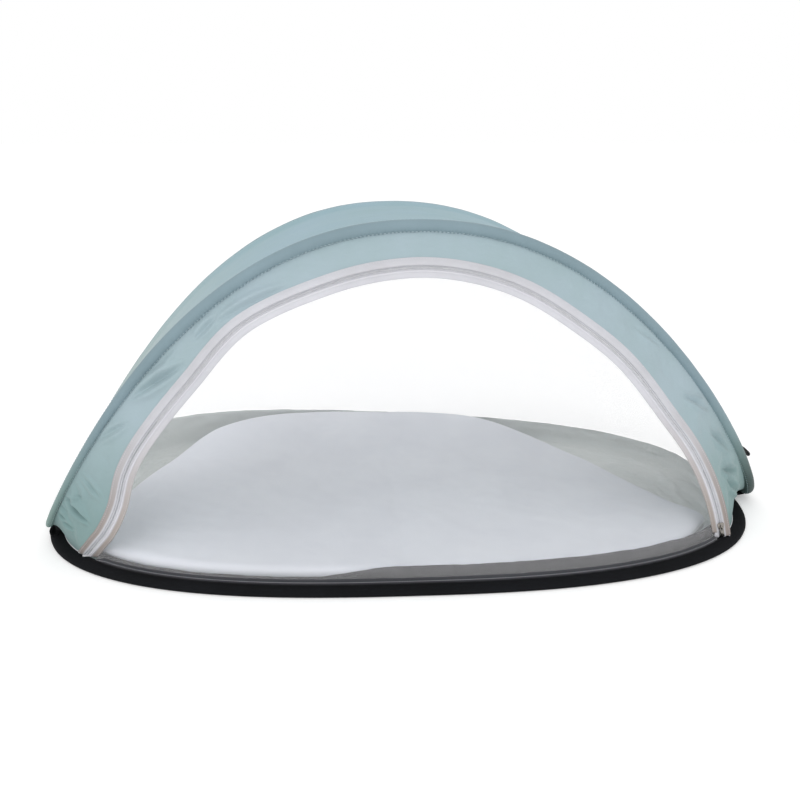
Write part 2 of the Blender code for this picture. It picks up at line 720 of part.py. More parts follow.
def build_pad(finish, carrier):
    """Quilted pad: an under cover, its filling and a top cover that is open below."""
    surface, peak, foot = pad_surface()
    count = surface.shape[1]
    rings = len(surface)

    vertices = np.vstack([surface.reshape(-1, 3), peak])
    tip = len(vertices) - 1
    last = (rings - 1) * count
    cap = [(last + step, last + (step + 1) % count, tip) for step in range(count)]
    faces = grid_faces(count, rings, True) + cap
    make_piece("pad_filling", vertices, faces + [tuple(range(count))], finish["wadding"], carrier)

    turned = np.concatenate([surface, surface[:, :1]], axis=1)
    along = np.gradient(np.concatenate([surface[:, -1:], turned, surface[:, 1:2]], axis=1), axis=1)[:, 1:-2]
    across = np.gradient(surface, axis=0)
    outward = unit(np.cross(along, across))
    outward[0, :, 2] = 0.0
    outward = unit(outward)
    shells = []
    for distance in (GAP, GAP + PAD_COVER):
        shell = surface + outward * distance
        shell[0, :, 2] = foot
        shells.append(np.vstack([shell.reshape(-1, 3), peak + np.array((0.0, 0.0, distance))]))
    size = len(shells[0])
    faces = grid_faces(count, rings, True) + cap
    faces += [tuple(index + size for index in face) for face in faces]
    for step in range(count):
        beside = (step + 1) % count
        faces += [(step, beside, beside + size), (step, beside + size, step + size)]
    make_piece("pad_top_cover", np.vstack(shells), faces, finish["pad_cloth"], carrier)

    low = FLOOR_THICKNESS + GAP
    outline = surface[0] + outward[0] * (GAP + PAD_COVER)
    vertices = [(x, y, level) for level in (low, low + PAD_COVER) for x, y, _ in outline]
    faces = grid_faces(count, 2, True) + [tuple(range(count)), tuple(range(count, 2 * count))]
    make_piece("pad_under_cover", vertices, faces, finish["pad_cloth"], carrier)


# Roof

def build_roof(finish):
    """Sleeve round the roof's edge, the wire in it, its ferrule and the roof sheet."""
    places, sides, normals = roof_stations()
    inner = SLEEVE_RADIUS - SLEEVE_WALL
    slot = ROOF_CLOTH / 2 + SLEEVE_SLOT_CLEARANCE
    section = []
    for radius, steps in ((SLEEVE_RADIUS, range(8)), (inner, range(7, -1, -1))):
        start = math.asin(slot / radius)
        for step in steps:
            angle = start + (2 * math.pi - 2 * start) * step / 7
            section.append((radius * math.cos(angle), radius * math.sin(angle)))
    sweep("roof_sleeve", places, sides, normals, section, finish["roof_cloth"])

    ferrule_radius = WIRE_RADIUS + GAP + FERRULE_WALL
    wire_offset = inner * math.cos(math.pi / 7) - GAP - ferrule_radius
    line = places - sides * wire_offset
    rear_crown = ROOF_STEPS * 3 // 4
    line = np.roll(line, -rear_crown, axis=0)
    build_wire("roof", np.vstack([line, line[:1]]), finish)

    edge = places + sides * (SLEEVE_RADIUS * SHEET_EDGE_SHARE)
    half = ROOF_STEPS // 2
    front = edge[1:half]
    rear = edge[:half:-1]
    rows = ruled(front, rear, 0.0, 1.0, 7)
    upright = np.cross(rear - front, np.gradient(front + rear, axis=0))
    outward = np.repeat(unit(upright)[None], len(rows), axis=0)
    sheet("roof_sheet", rows, ROOF_CLOTH, finish["roof_cloth"], normals=outward)


def build_tab(finish):
    """Webbing tab sewn to the outside of the roof above its right tip."""
    along, x, z = arch_profile()
    distance = along[-1] * TAB_PLACE_SHARE
    rows = []
    for share in (0.0, 0.5, 1.0):
        reach = distance + share * TAB_LENGTH
        row = [roof_to_world(np.interp(reach, along, x), across, np.interp(reach, along, z))
               for across in (-TAB_WIDTH / 2, 0.0, TAB_WIDTH / 2)]
        rows.append(row)
    rows = np.array(rows)
    outward = sheet_normals(rows)
    outward = outward * np.sign(outward[1, 1, 0])
    seat = ROOF_CLOTH / 2 + TAB_THICKNESS / 2 + GAP
    lift = np.array((seat, seat + TAB_STANDOFF * 0.35, seat + TAB_STANDOFF))[:, None, None]
    sheet("webbing_tab", rows + outward * lift, TAB_THICKNESS, finish["webbing"])


# Front band, zip and door

def build_front(finish, door, slider, pull):
    """Front band, both halves of the zip, the mesh door, its hem, the slider and its pull."""
    seam = BINDING_HEIGHT + GAP
    foot = seam + TAPE_THICKNESS
    half_split = COIL_SPLIT / 2
    coil_edge = half_split + COIL_WIDTH
    above_stop = foot + STOP_SIZE[1] + GAP
    slider_top = zip_arc_point(SLIDER_REST_ANGLE)[2] + SLIDER_LENGTH / 2 + GAP
    above_tape_end = seam + TAPE_END_SIZE[1] + GAP
    outer_tape_edge = coil_edge + GAP + OUTER_TAPE_WIDTH
    inner_tape_edge = coil_edge + GAP + INNER_TAPE_WIDTH
    corner = DOOR_CORNER_HEIGHT
    strips = (
        ("outer_zip_coil", half_split, coil_edge, COIL_THICKNESS, above_stop, foot, "zip_coil", None),
        ("outer_zip_tape", coil_edge + GAP, outer_tape_edge, TAPE_THICKNESS, foot, foot, "zip_tape", None),
        ("inner_zip_coil", -half_split, -coil_edge, COIL_THICKNESS, corner + GAP, slider_top,
         "zip_coil", door),
        ("inner_zip_tape", -coil_edge - GAP, -inner_tape_edge, TAPE_THICKNESS, corner + GAP, above_tape_end,
         "zip_tape", door),
    )
    for name, near, far, thickness, left, right, slot, carrier in strips:
        rows = np.array([zip_edge(near, left, right), zip_edge(far, left, right)])
        sheet(name, rows, thickness, finish[slot], carrier, np.tile(zip_front(), (2, ZIP_STEPS, 1)))

    corner_strips = (
        ("corner_zip_coil", -half_split, -coil_edge, COIL_THICKNESS, above_stop, "zip_coil"),
        ("corner_zip_tape", -coil_edge - GAP, -inner_tape_edge, TAPE_THICKNESS, foot, "zip_tape"),
    )
    for name, near, far, thickness, low, slot in corner_strips:
        rows = np.array([zip_corner_edge(near, low, corner), zip_corner_edge(far, low, corner)])
        sheet(name, rows, thickness, finish[slot], None, np.tile(zip_front(), (2, CORNER_STEPS, 1)))

    build_band(outer_tape_edge + EDGE_GAP, foot, seam, finish)
    build_door(inner_tape_edge + EDGE_GAP, foot, above_tape_end, finish, door)
    build_zip_ends(seam, finish)
    build_slider(finish, slider, pull)


def build_band(offset, foot, seam, finish):
    """Cloth band from the front arch down to the zip, and at its ends to the seam on the base."""
    left_columns, zip_columns, right_columns = BAND_COLUMNS
    zip_line = zip_edge(offset, foot, foot, zip_columns)
    seam_level = seam + WALL_CLOTH
    left_start = (-BASE_HALF_LENGTH, LEFT_FOOT_Y)
    right_end = (BASE_HALF_LENGTH, RIGHT_FOOT_Y)
    left_run = base_run(SEAM_INSET, left_start, zip_line[0], left_columns, seam_level)
    right_run = base_run(SEAM_INSET, zip_line[-1], right_end, right_columns, seam_level)
    lower = np.vstack([left_run[:-1], zip_line, right_run[1:]])
    left_tip, left_share, right_share, right_tip = BAND_SHARES
    shares = np.concatenate([np.linspace(left_tip, left_share, left_columns)[:-1],
                             np.linspace(left_share, right_share, zip_columns),
                             np.linspace(right_share, right_tip, right_columns)[1:]])
    arch = arch_edge(True, ARCH_SAMPLES)
    upper = arch[np.round(shares * (ARCH_SAMPLES - 1)).astype(int)]
    upper = clear_of_sleeve(upper, lower)
    sheet("front_band", ruled(upper, lower, 0.0, 1.0, SHEET_ROWS), WALL_CLOTH, finish["band_cloth"])


def build_door(offset, left, right, finish, door):
    """Mesh door from the zip down to its hem on the base, and its left corner, which stays put."""
    level = BINDING_HEIGHT + GAP + HEM_THICKNESS / 2
    left_inset, right_inset = DOOR_FOOT_INSETS
    corner = zip_corner_edge(-offset, left, DOOR_CORNER_HEIGHT)
    upper = zip_edge(-offset, DOOR_CORNER_HEIGHT + GAP, right)
    step = np.array((EDGE_GAP, 0.0, 0.0))
    start = corner[0] + np.array((left_inset, 0.0, 0.0))
    end = upper[-1] - np.array((right_inset, 0.0, 0.0))
    corner_lower = base_run(SEAM_INSET, start, corner[-1] - step, CORNER_STEPS, level)
    build_door_panel("door_corner", corner, corner_lower, finish, None)
    lower = base_run(SEAM_INSET, upper[0] + step, end, ZIP_STEPS, level)
    build_door_panel("door", upper, lower, finish, door)


def build_door_panel(label, upper, lower, finish, carrier):
    """Hem on the base and the mesh over it, up to the zip."""
    reach = np.linalg.norm(upper - lower, axis=1)[:, None]
    hem_share = np.minimum(DOOR_HEM_HEIGHT / reach, MOST_HEM_SHARE)
    hem_top = lower + (upper - lower) * hem_share
    mesh_low = move_along(hem_top, upper, EDGE_GAP)
    sheet(f"{label}_hem", np.array([lower, hem_top]), HEM_THICKNESS, finish["webbing"], carrier)
    mesh_rows = ruled(mesh_low, upper, 0.0, 1.0, SHEET_ROWS)
    sheet(f"{label}_mesh", mesh_rows, MESH_CLOTH, finish["mesh_cloth"], carrier)


def zip_frame(place, heading):
    """Frame at a point of the zip: x outward across it, y along it upwards, z to the front."""
    front = Vector(zip_front())
    upward = Vector(heading)
    outward = upward.cross(front)
    frame = Matrix((outward, upward, front)).transposed().to_4x4()
    frame.translation = Vector(place)
    return frame


def arc_frame(angle):
    """Frame on the right foot's arc."""
    heading = unit(zip_arc_point(angle + 0.001) - zip_arc_point(angle - 0.001))
    return zip_frame(zip_arc_point(angle), heading)


def build_zip_ends(seam, finish):
    """Moulded stop at the zip's left foot and the folded end of the tape at its right foot."""
    path = zip_path()
    width, length, depth = STOP_SIZE
    place = path[0].copy()
    place[2] = seam + length / 2
    frame = zip_frame(place, (0.0, 0.0, 1.0))
    vertices, faces = box_mesh((-width / 2, -length / 2, -depth / 2), (width / 2, length / 2, depth / 2))
    make_piece("zip_stop", [frame @ Vector(vertex) for vertex in vertices], faces, finish["zip_coil"])

    width, length, depth = TAPE_END_SIZE
    place = zip_arc_point(ZIP_FOOT_TILT)
    place = place - np.array((COIL_WIDTH + width / 2, 0.0, 0.0))
    place[2] = seam + length / 2
    frame = zip_frame(place, (0.0, 0.0, 1.0))
    vertices, faces = box_mesh((-width / 2, -length / 2, -depth / 2), (width / 2, length / 2, depth / 2))
    make_piece("zip_tape_end", [frame @ Vector(vertex) for vertex in vertices], faces, finish["zip_tape"])


def slider_levels():
    """Heights over the zip's centre plane: plate front, bridge underside, pull's pivot."""
    plate_front = COIL_THICKNESS / 2 + GAP + SLIDER_PLATE
    bridge_under = plate_front + BRIDGE_CLEAR_HEIGHT
    pivot = plate_front + BRIDGE_CLEAR_HEIGHT / 2
    return plate_front, bridge_under, pivot


def build_slider(finish, slider, pull):
    """Slider that straddles the two coils, with a bridge that holds the pull tab."""
    frame = arc_frame(SLIDER_REST_ANGLE)
    channel = COIL_THICKNESS / 2 + GAP
    plate_front, bridge_under, pivot = slider_levels()
    half_width, half_length = SLIDER_WIDTH / 2, SLIDER_LENGTH / 2
    web = COIL_SPLIT / 2 - GAP
    bite = SLIDER_PLATE / 2
    post = BRIDGE_WIDTH / 2
    span = BRIDGE_SPAN / 2
    boxes = [
        ((-half_width, -half_length, channel), (half_width, half_length, plate_front)),
        ((-half_width, -half_length, -plate_front), (half_width, half_length, -channel)),
        ((-web, -half_length * WEB_SHARE, -channel - bite), (web, half_length * WEB_SHARE, channel + bite)),
        ((-post, span - BRIDGE_POST, plate_front - bite), (post, span, bridge_under + BRIDGE_POST)),
        ((-post, -span, plate_front - bite), (post, -span + BRIDGE_POST, bridge_under + BRIDGE_POST)),
        ((-post * BAR_SHARE, -span + bite, bridge_under),
         (post * BAR_SHARE, span - bite, bridge_under + BRIDGE_POST * BAR_SHARE)),
    ]
    fuse_boxes("zip_slider", boxes, frame, finish["nickel"], slider)
    build_pull(frame, pivot, finish, pull)


def build_pull(frame, pivot, finish, pull):
    """Flat pull tab whose window passes round the slider's bridge."""
    half = PULL_THICKNESS / 2
    window_width, window_length = PULL_WINDOW
    side = PULL_WIDTH / 2
    shoulder = window_width / 2 + 2 * PULL_THICKNESS
    corner = side * PULL_CORNER_SHARE
    outer = [(-shoulder, half), (shoulder, half), (side, -window_length), (side, -PULL_LENGTH + side),
             (corner, -PULL_LENGTH), (-corner, -PULL_LENGTH), (-side, -PULL_LENGTH + side),
             (-side, -window_length)]
    inner_top = -half
    inner_low = -half - window_length
    w = window_width / 2
    inner = [(-w, inner_top), (w, inner_top), (w, inner_low * 0.6), (w, inner_low),
             (w * 0.4, inner_low - w), (-w * 0.4, inner_low - w), (-w, inner_low), (-w, inner_low * 0.6)]
    vertices = []
    for ring in (outer, inner):
        for level in (pivot - half, pivot + half):
            vertices += [frame @ Vector((x, y, level)) for x, y in ring]
    count = len(outer)
    outer_low, outer_high, inner_low_ring, inner_high_ring = (index * count for index in range(4))
    faces = []
    for step in range(count):
        beside = (step + 1) % count
        for first, second in ((outer_low, outer_high), (outer_high, inner_high_ring),
                              (inner_high_ring, inner_low_ring), (inner_low_ring, outer_low)):
            faces.append((first + step, first + beside, second + beside, second + step))
    make_piece("zip_pull", vertices, faces, finish["nickel"], pull)


# Rear wall and feet

def build_rear(finish):
    """Rear hem under the rear arch and the mesh wall from it to the low side wall."""
    arch = arch_edge(False, ZIP_STEPS)
    head_inset = SIDE_WALL_INSET + SIDE_WALL_LEAN + SIDE_WALL_THICKNESS / 2
    run = base_run(head_inset, (BASE_HALF_LENGTH, RIGHT_FOOT_Y), (-BASE_HALF_LENGTH, LEFT_FOOT_Y), 400, 0.0)
    run[:, 2] = [side_wall_height(x, y) + REAR_MESH_LIFT for x, y in run[:, :2]]
    lower = resample(run[::-1], ZIP_STEPS)
    upper = clear_of_sleeve(arch, lower)
    hem_low = move_along(upper, lower, REAR_HEM_HEIGHT)
    mesh_high = move_along(hem_low, lower, EDGE_GAP)
    sheet("rear_hem", np.array([upper, hem_low]), HEM_THICKNESS, finish["band_cloth"])
    sheet("rear_mesh", ruled(mesh_high, lower, 0.0, 1.0, SHEET_ROWS + 1), MESH_CLOTH, finish["mesh_cloth"])


def build_feet(finish):
    """Patches that hold the roof's two tips to the binding."""
    places = roof_stations()[0]
    left_tip = places[0]
    right_tip = places[ROOF_STEPS // 2]
    top = BINDING_HEIGHT + GAP
    under_left = left_tip[2] - SLEEVE_RADIUS - GAP
    low = (left_tip[0] - LEFT_PATCH_WIDTH, left_tip[1] - PATCH_LENGTH / 2, top)
    high = (left_tip[0], left_tip[1] + PATCH_LENGTH / 2, under_left)
    make_piece("left_foot_patch", *box_mesh(low, high), finish["roof_cloth"])

    edge = BASE_HALF_LENGTH + GAP
    inner_side = right_tip[0] - SLEEVE_RADIUS - GAP
    low = (edge, right_tip[1] - PATCH_LENGTH / 2, BINDING_TAPE)
    high = (inner_side, right_tip[1] + PATCH_LENGTH / 2, BINDING_HEIGHT)
    make_piece("right_foot_patch", *box_mesh(low, high), finish["roof_cloth"])


def build_bed():
    """Whole bed from an empty scene."""
    for item in list(bpy.data.objects):
        bpy.data.objects.remove(item, do_unlink=True)
    finish = make_materials()
    hinge_line = (0.0, SEAM_INSET - BASE_FRONT_DEPTH, BINDING_HEIGHT + DOOR_HINGE_RISE)
    door = make_empty("door_hinge", hinge_line)
    centre_along, centre_height = zip_arc_centre()
    slider = make_empty("slider_centre", zip_plane_point(centre_along, centre_height))
    pull = make_empty("pull_pivot", arc_frame(SLIDER_REST_ANGLE) @ Vector((0.0, 0.0, slider_levels()[2])))
    pad = make_empty("pad_seat", (0.0, 0.0, FLOOR_THICKNESS))
    build_base(finish)
    build_pad(finish, pad)
    build_roof(finish)
    build_tab(finish)
    build_front(finish, door, slider, pull)
    build_rear(finish)
    build_feet(finish)


build_bed()
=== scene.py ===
# %% [markdown]
# A pop-up baby travel bed, built round a imported CAD model.
#
# The bed is a flat oval floor whose black edge binding hides a steel loop, and a roof of thin
# sea-green cloth whose edge hides a second steel loop. A zip runs round the front opening and holds
# a mesh door. The CAD model says where every piece is. This script dresses it in cloth. Finishes and
# helpers come first, then the pieces from the ground up, and last the stage.
#
# The frame is loaded first.

# %% Load the frame
import math

import bmesh
import bpy
import numpy as np
from mathutils import Matrix, Vector, noise


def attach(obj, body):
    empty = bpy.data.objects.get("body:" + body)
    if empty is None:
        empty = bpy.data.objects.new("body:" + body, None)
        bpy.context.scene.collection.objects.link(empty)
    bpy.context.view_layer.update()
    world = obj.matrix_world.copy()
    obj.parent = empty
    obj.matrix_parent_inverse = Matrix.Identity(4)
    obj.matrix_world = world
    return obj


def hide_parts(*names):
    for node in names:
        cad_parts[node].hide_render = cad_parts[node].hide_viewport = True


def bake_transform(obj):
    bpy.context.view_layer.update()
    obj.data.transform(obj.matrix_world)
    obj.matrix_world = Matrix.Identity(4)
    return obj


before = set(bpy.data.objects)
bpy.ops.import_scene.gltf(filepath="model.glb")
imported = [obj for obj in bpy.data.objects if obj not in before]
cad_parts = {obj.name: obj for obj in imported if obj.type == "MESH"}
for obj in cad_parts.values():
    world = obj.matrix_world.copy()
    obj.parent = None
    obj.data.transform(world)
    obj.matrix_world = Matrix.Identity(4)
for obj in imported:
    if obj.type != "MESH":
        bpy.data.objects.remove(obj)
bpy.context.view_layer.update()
print("nodes in the frame:", len(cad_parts))

# %% [markdown]
# Blender draws in linear light, while a colour picked from a picture is in sRGB. One function turns
# the hex value into linear numbers. A second one adds a node to a node tree with its settings and
# its links, so that every material and every Geometry Nodes tree below reads as a list.

# %% Colour and node helpers
def paint(code):
    """Linear colour from an sRGB hex value."""
    shares = [int(code[place:place + 2], 16) / 255 for place in (1, 3, 5)]
    linear = [share / 12.92 if share <= 0.04045 else ((share + 0.055) / 1.055) ** 2.4 for share in shares]
    return (*linear, 1.0)


def add_node(tree, kind, inputs=None, **settings):
    """Node whose inputs are values, outputs of other nodes, or nodes, which give their first output."""
    node = tree.nodes.new(kind)
    for name, value in settings.items():
        setattr(node, name, value)
    for key, value in (inputs or {}).items():
        if isinstance(value, bpy.types.Node):
            value = next(socket for socket in value.outputs if socket.enabled)
        if isinstance(value, bpy.types.NodeSocket):
            tree.links.new(value, node.inputs[key])
        else:
            node.inputs[key].default_value = value
    return node


def start_material(name):
    """New material and its empty node tree."""
    material = bpy.data.materials.new(name)
    material.use_nodes = True
    material.node_tree.nodes.clear()
    return material, material.node_tree


print("mid grey in linear light:", round(paint("#808080")[0], 3))

# %% [markdown]
# Woven cloth. Polyester taffeta is a plain weave: each thread goes over one and under the next. Two
# wave patterns at right angles make the threads, a broad noise makes the uneven dye and the soft
# creases that stay after the bed was folded, and both feed one bump. The pattern reads the piece's
# own UV map, which is laid out in metres along the cloth, so the thread spacing is a real size. A
# real taffeta thread is about 0.2 mm wide, which no picture of the whole bed can show, so the threads
# are drawn 1.1 mm apart and faint.

# %% Cloth materials
THREAD_SPACING = 0.0011
WAVE_UNIT = math.pi / 10


def weave_height(tree, spacing, coords):
    """Height of a plain weave with this thread spacing, from 0 to 1."""
    warp, weft = (add_node(tree, "ShaderNodeTexWave", {"Vector": coords, "Scale": WAVE_UNIT / spacing},
                           bands_direction=direction) for direction in ("X", "Y"))
    return add_node(tree, "ShaderNodeMath", {0: warp, 1: weft}, operation="MULTIPLY")


def cloth_material(name, shade, deep, spacing=THREAD_SPACING, rough=0.72, sheen=0.15, relief=0.25,
                   crumple=0.0, patch=0.11, foot=None, foot_heights=(0.02, 0.16), shine=0.3, end=None,
                   ridge_without_painted_shade=0.0):
    """Woven cloth with uneven dye; if asked, also a tone painted by height and one towards an end, which
    carry painted shade and painted light.
    """
    material, tree = start_material(name)
    uv = add_node(tree, "ShaderNodeUVMap", uv_map="cloth")
    place = add_node(tree, "ShaderNodeTexCoord").outputs["Object"]
    axes = add_node(tree, "ShaderNodeSeparateXYZ", {0: place}).outputs
    weave = weave_height(tree, spacing, uv)
    cloud = add_node(tree, "ShaderNodeTexNoise",
                     {"Vector": place, "Scale": 1 / patch, "Detail": 4.0, "Roughness": 0.6})
    tone = add_node(tree, "ShaderNodeMapRange", {"Value": cloud, "From Min": 0.35, "From Max": 0.65})
    colour = add_node(tree, "ShaderNodeMix", {0: tone, 6: paint(deep), 7: paint(shade)}, data_type="RGBA")
    # Tone mixed in low down: painted shade near the ground on the band, the sleeve and the zip tapes.
    if foot:
        low, high = foot_heights
        rise = add_node(tree, "ShaderNodeMapRange", {"Value": axes["Z"], "From Min": low, "From Max": high},
                        interpolation_type="SMOOTHSTEP")
        # The ridge beside the zip's coil is kept free of that painted shade.
        if ridge_without_painted_shade:
            beside = add_node(tree, "ShaderNodeSeparateXYZ", {0: uv}).outputs["Y"]
            ridge = add_node(tree, "ShaderNodeMapRange", {"Value": beside, "From Min": ridge_without_painted_shade * 0.7,
                                                          "From Max": ridge_without_painted_shade, "To Min": 1.0, "To Max": 0.0})
            rise = add_node(tree, "ShaderNodeMath", {0: rise, 1: ridge}, operation="MAXIMUM")
        colour = add_node(tree, "ShaderNodeMix", {0: rise, 6: paint(foot), 7: colour}, data_type="RGBA")
    # Tone mixed in along x: painted shade on the sleeve's right tip, painted light on the pad's left end.
    if end:
        painted_tone_at_end, start, full = end
        near = add_node(tree, "ShaderNodeMapRange", {"Value": axes["X"], "From Min": start, "From Max": full},
                        interpolation_type="SMOOTHSTEP")
        colour = add_node(tree, "ShaderNodeMix", {0: near, 6: colour, 7: paint(painted_tone_at_end)}, data_type="RGBA")
    thread_tone = add_node(tree, "ShaderNodeMapRange", {"Value": weave, "To Min": 0.965, "To Max": 1.02})
    colour = add_node(tree, "ShaderNodeMix", {0: 1.0, 6: colour, 7: thread_tone}, data_type="RGBA",
                      blend_type="MULTIPLY")
    creases = add_node(tree, "ShaderNodeTexNoise", {"Vector": place, "Scale": 38.0, "Detail": 5.0,
                                                    "Roughness": 0.55, "Distortion": 0.6})
    soft = add_node(tree, "ShaderNodeBump", {"Height": creases, "Distance": 0.004, "Strength": crumple})
    threads = add_node(tree, "ShaderNodeBump",
                       {"Height": weave, "Distance": spacing / 4, "Strength": relief, "Normal": soft})
    worn = add_node(tree, "ShaderNodeMapRange",
                    {"Value": cloud, "To Min": rough - 0.06, "To Max": rough + 0.06})
    shader = add_node(tree, "ShaderNodeBsdfPrincipled",
                      {"Base Color": colour, "Roughness": worn, "Normal": threads, "Sheen Weight": sheen,
                       "Sheen Roughness": 0.5, "Specular IOR Level": shine})
    add_node(tree, "ShaderNodeOutputMaterial", {"Surface": shader})
    return material


roof_taffeta = cloth_material("polyester taffeta, sea green roof", "#92AFBB", "#8CABB3", crumple=0.14,
                              foot="#A9B9B7", foot_heights=(0.16, 0.47))
# The band is painted darker and greener near the ground: painted shade at its feet.
band_taffeta = cloth_material("polyester taffeta, sea green band", "#A3B5BD", "#9DB1B6", crumple=0.20,
                              foot="#7C9897", foot_heights=(0.03, 0.24))
# The sleeve is painted darker than the roof cloth it is made of, as painted shade on its underside. It is
# also painted darker at its feet and nearly black-green at its right tip, a painted shadow.
sleeve_taffeta = cloth_material("polyester taffeta, doubled sleeve with painted shade", "#8499A2", "#7D929A",
                                crumple=0.22, foot="#78918C", foot_heights=(0.03, 0.24),
                                end=("#2B3E3C", 0.49, 0.575))
floor_cloth = cloth_material("waterproof polyester, floor", "#CDD2D0", "#C2C8C6", rough=0.62, crumple=0.5)
wall_backing = cloth_material("coated backing of the side wall", "#343439", "#2C2D30", rough=0.6,
                              crumple=0.3)
binding_tape = cloth_material("woven polyester binding tape, black", "#16171A", "#111214", spacing=0.0016,
                              rough=0.92, sheen=0.0, relief=0.6, crumple=0.1, shine=0.12)
# The pad cover is painted lighter towards its left end: painted light where the roof shades it.
pad_cotton = cloth_material("brushed cotton pad cover, off white", "#DDE0E7", "#D6D9E1", spacing=0.0014,
                            rough=0.9, sheen=0.3, relief=0.2, crumple=0.04, patch=0.09,
                            end=("#E9ECF4", -0.18, -0.40))
pad_backing = cloth_material("non-woven pad backing", "#B9BBBF", "#AEB0B5", rough=0.9)
# Both tape halves are painted browner and darker near the ground, a painted shade, but not on the ridge
# beside the coil.
outer_tape_cloth, inner_tape_cloth = (
    cloth_material(name, shade, deep, spacing=0.0012, crumple=0.2, foot=foot, foot_heights=(0.03, 0.26),
                   ridge_without_painted_shade=0.0088)
    for name, shade, deep, foot in (("woven zip tape, outer half", "#CDCED4", "#C2C2C7", "#9C928D"),
                                    ("woven zip tape, inner half", "#D8D8DE", "#CCCCD2", "#AAA09A")))
webbing_black = cloth_material("woven nylon webbing, black", "#1A1A1C", "#141416", spacing=0.0018, relief=0.8)
hem_cloth = cloth_material("woven tape of the door hem, dark grey", "#404146", "#37383D", spacing=0.0012)
print("cloth materials:", len(bpy.data.materials))

# %% [markdown]
# Mosquito mesh. The real door is a fine white net with holes of about 0.6 mm between very thin threads,
# so most of the light goes straight through and the net hardly shows. A net of real threads would
# need millions of faces. A sheet whose alpha follows two wave patterns gives the same veil: opaque
# along the threads, clear in the holes.

# %% Mesh material
NET_SPACING = 0.0006
NET_THREAD_SHARE = 0.08


def net_material(name, shade):
    """Net: threads of one shade, and clear holes between them."""
    material, tree = start_material(name)
    uv = add_node(tree, "ShaderNodeUVMap", uv_map="cloth")
    edge = 0.5 + 0.5 * math.cos(math.pi * NET_THREAD_SHARE)
    lines = []
    for direction in ("X", "Y"):
        wave = add_node(tree, "ShaderNodeTexWave", {"Vector": uv, "Scale": WAVE_UNIT / NET_SPACING},
                        bands_direction=direction)
        lines.append(add_node(tree, "ShaderNodeMath", {0: wave, 1: edge}, operation="GREATER_THAN"))
    threads = add_node(tree, "ShaderNodeMath", {0: lines[0], 1: lines[1]}, operation="MAXIMUM")
    shader = add_node(tree, "ShaderNodeBsdfPrincipled",
                      {"Base Color": paint(shade), "Roughness": 0.55, "Alpha": threads, "Sheen Weight": 0.1})
    add_node(tree, "ShaderNodeOutputMaterial", {"Surface": shader})
    return material


white_net = net_material("polyester mosquito net, white", "#FAFAFC")
print("net holes in mm:", NET_SPACING * 1000)

# %% [markdown]
# Hard finishes. The zip's coils are nylon monofilament, milky and slightly glossy. The slider and its
# pull are die-cast zinc with a thin nickel plating, which is smooth, a little warm, and dulled by
# handling. The two loops are drawn spring steel and sit out of sight in their sleeves. Thread is
# spun polyester and takes hardly any shine.

# %% Nylon, nickel, steel and thread
def hard_material(name, shade, deep, rough, metallic=0.0, grain=900.0, relief=0.15, stretch=(1, 1, 1)):
    """Moulded, plated or drawn surface with a fine grain and uneven gloss."""
    material, tree = start_material(name)
    place = add_node(tree, "ShaderNodeTexCoord").outputs["Object"]
    drawn = add_node(tree, "ShaderNodeMapping", {"Vector": place, "Scale": stretch})
    fine = add_node(tree, "ShaderNodeTexNoise", {"Vector": drawn, "Scale": grain, "Detail": 3.0})
    broad = add_node(tree, "ShaderNodeTexNoise", {"Vector": place, "Scale": grain / 12})
    colour = add_node(tree, "ShaderNodeMix", {0: broad, 6: paint(deep), 7: paint(shade)}, data_type="RGBA")
    gloss = add_node(tree, "ShaderNodeMapRange",
                     {"Value": broad, "To Min": rough * 0.7, "To Max": rough * 1.3})
    bump = add_node(tree, "ShaderNodeBump", {"Height": fine, "Distance": 0.0001, "Strength": relief})
    shader = add_node(tree, "ShaderNodeBsdfPrincipled",
                      {"Base Color": colour, "Roughness": gloss, "Metallic": metallic, "Normal": bump})
    add_node(tree, "ShaderNodeOutputMaterial", {"Surface": shader})
    return material


nylon = hard_material("nylon monofilament coil", "#E7E8EC", "#DCDDE1", 0.38)
nickel = hard_material("nickel-plated zinc, die-cast", "#B9B4AC", "#6E6A66", 0.26, metallic=1.0, grain=500.0)
steel = hard_material("drawn spring steel", "#A8AAAD", "#8C8E92", 0.33, metallic=1.0, grain=700.0,
                      stretch=(0.1, 0.1, 1))
white_thread, green_thread, black_thread = (
    hard_material("spun polyester thread, " + name, shade, deep, 0.85, grain=2500.0, relief=0.5)
    for name, shade, deep in (("white", "#D9DADF", "#C9CAD0"), ("sea green", "#C3D4D8", "#A9BFC4"),
                              ("black", "#2C2D30", "#1F2023")))
print("materials:", len(bpy.data.materials))

# %% [markdown]
# The curves that all pieces share. They repeat the CAD model's own sizes: the base oval is a
# superellipse whose back narrows a little to the right, and the roof's edge is a long lens bent over
# an arch and leaned back. Every sheet below is ruled between two of these curves.

# %% Sizes of the base and of the roof
GAP = 0.0003
BASE_HALF_LENGTH = 0.550
BASE_FRONT_DEPTH = 0.298
BASE_REAR_DEPTH = 0.332
BASE_CORNER_POWER = 2.63
BASE_REAR_TAPER = 0.12
BINDING_HEIGHT = 0.0074
SEAM_INSET = 0.020
ROOF_HALF_SPAN = 0.555
ROOF_RISE = 0.448
ROOF_SPREAD_POWER = 2.168
ROOF_SHOULDER_POWER = 0.982
ROOF_WIDTH = 0.279
ROOF_LEAN = math.radians(3.5)
ROOF_SKEW = math.radians(5.0)
ROOF_SHIFT_X = 0.022
ROOF_SHIFT_Y = -0.061
ROOF_SLANT = -0.037
LEFT_TIP_HEIGHT = 0.029
RIGHT_TIP_HEIGHT = 0.014
ROOF_TIP_TURN = math.radians(5.0)
SLEEVE_RADIUS = 0.0085


def smooth_share(value):
    """Share from 0 to 1 that starts and ends gently."""
    value = np.clip(value, 0.0, 1.0)
    return value * value * (3.0 - 2.0 * value)


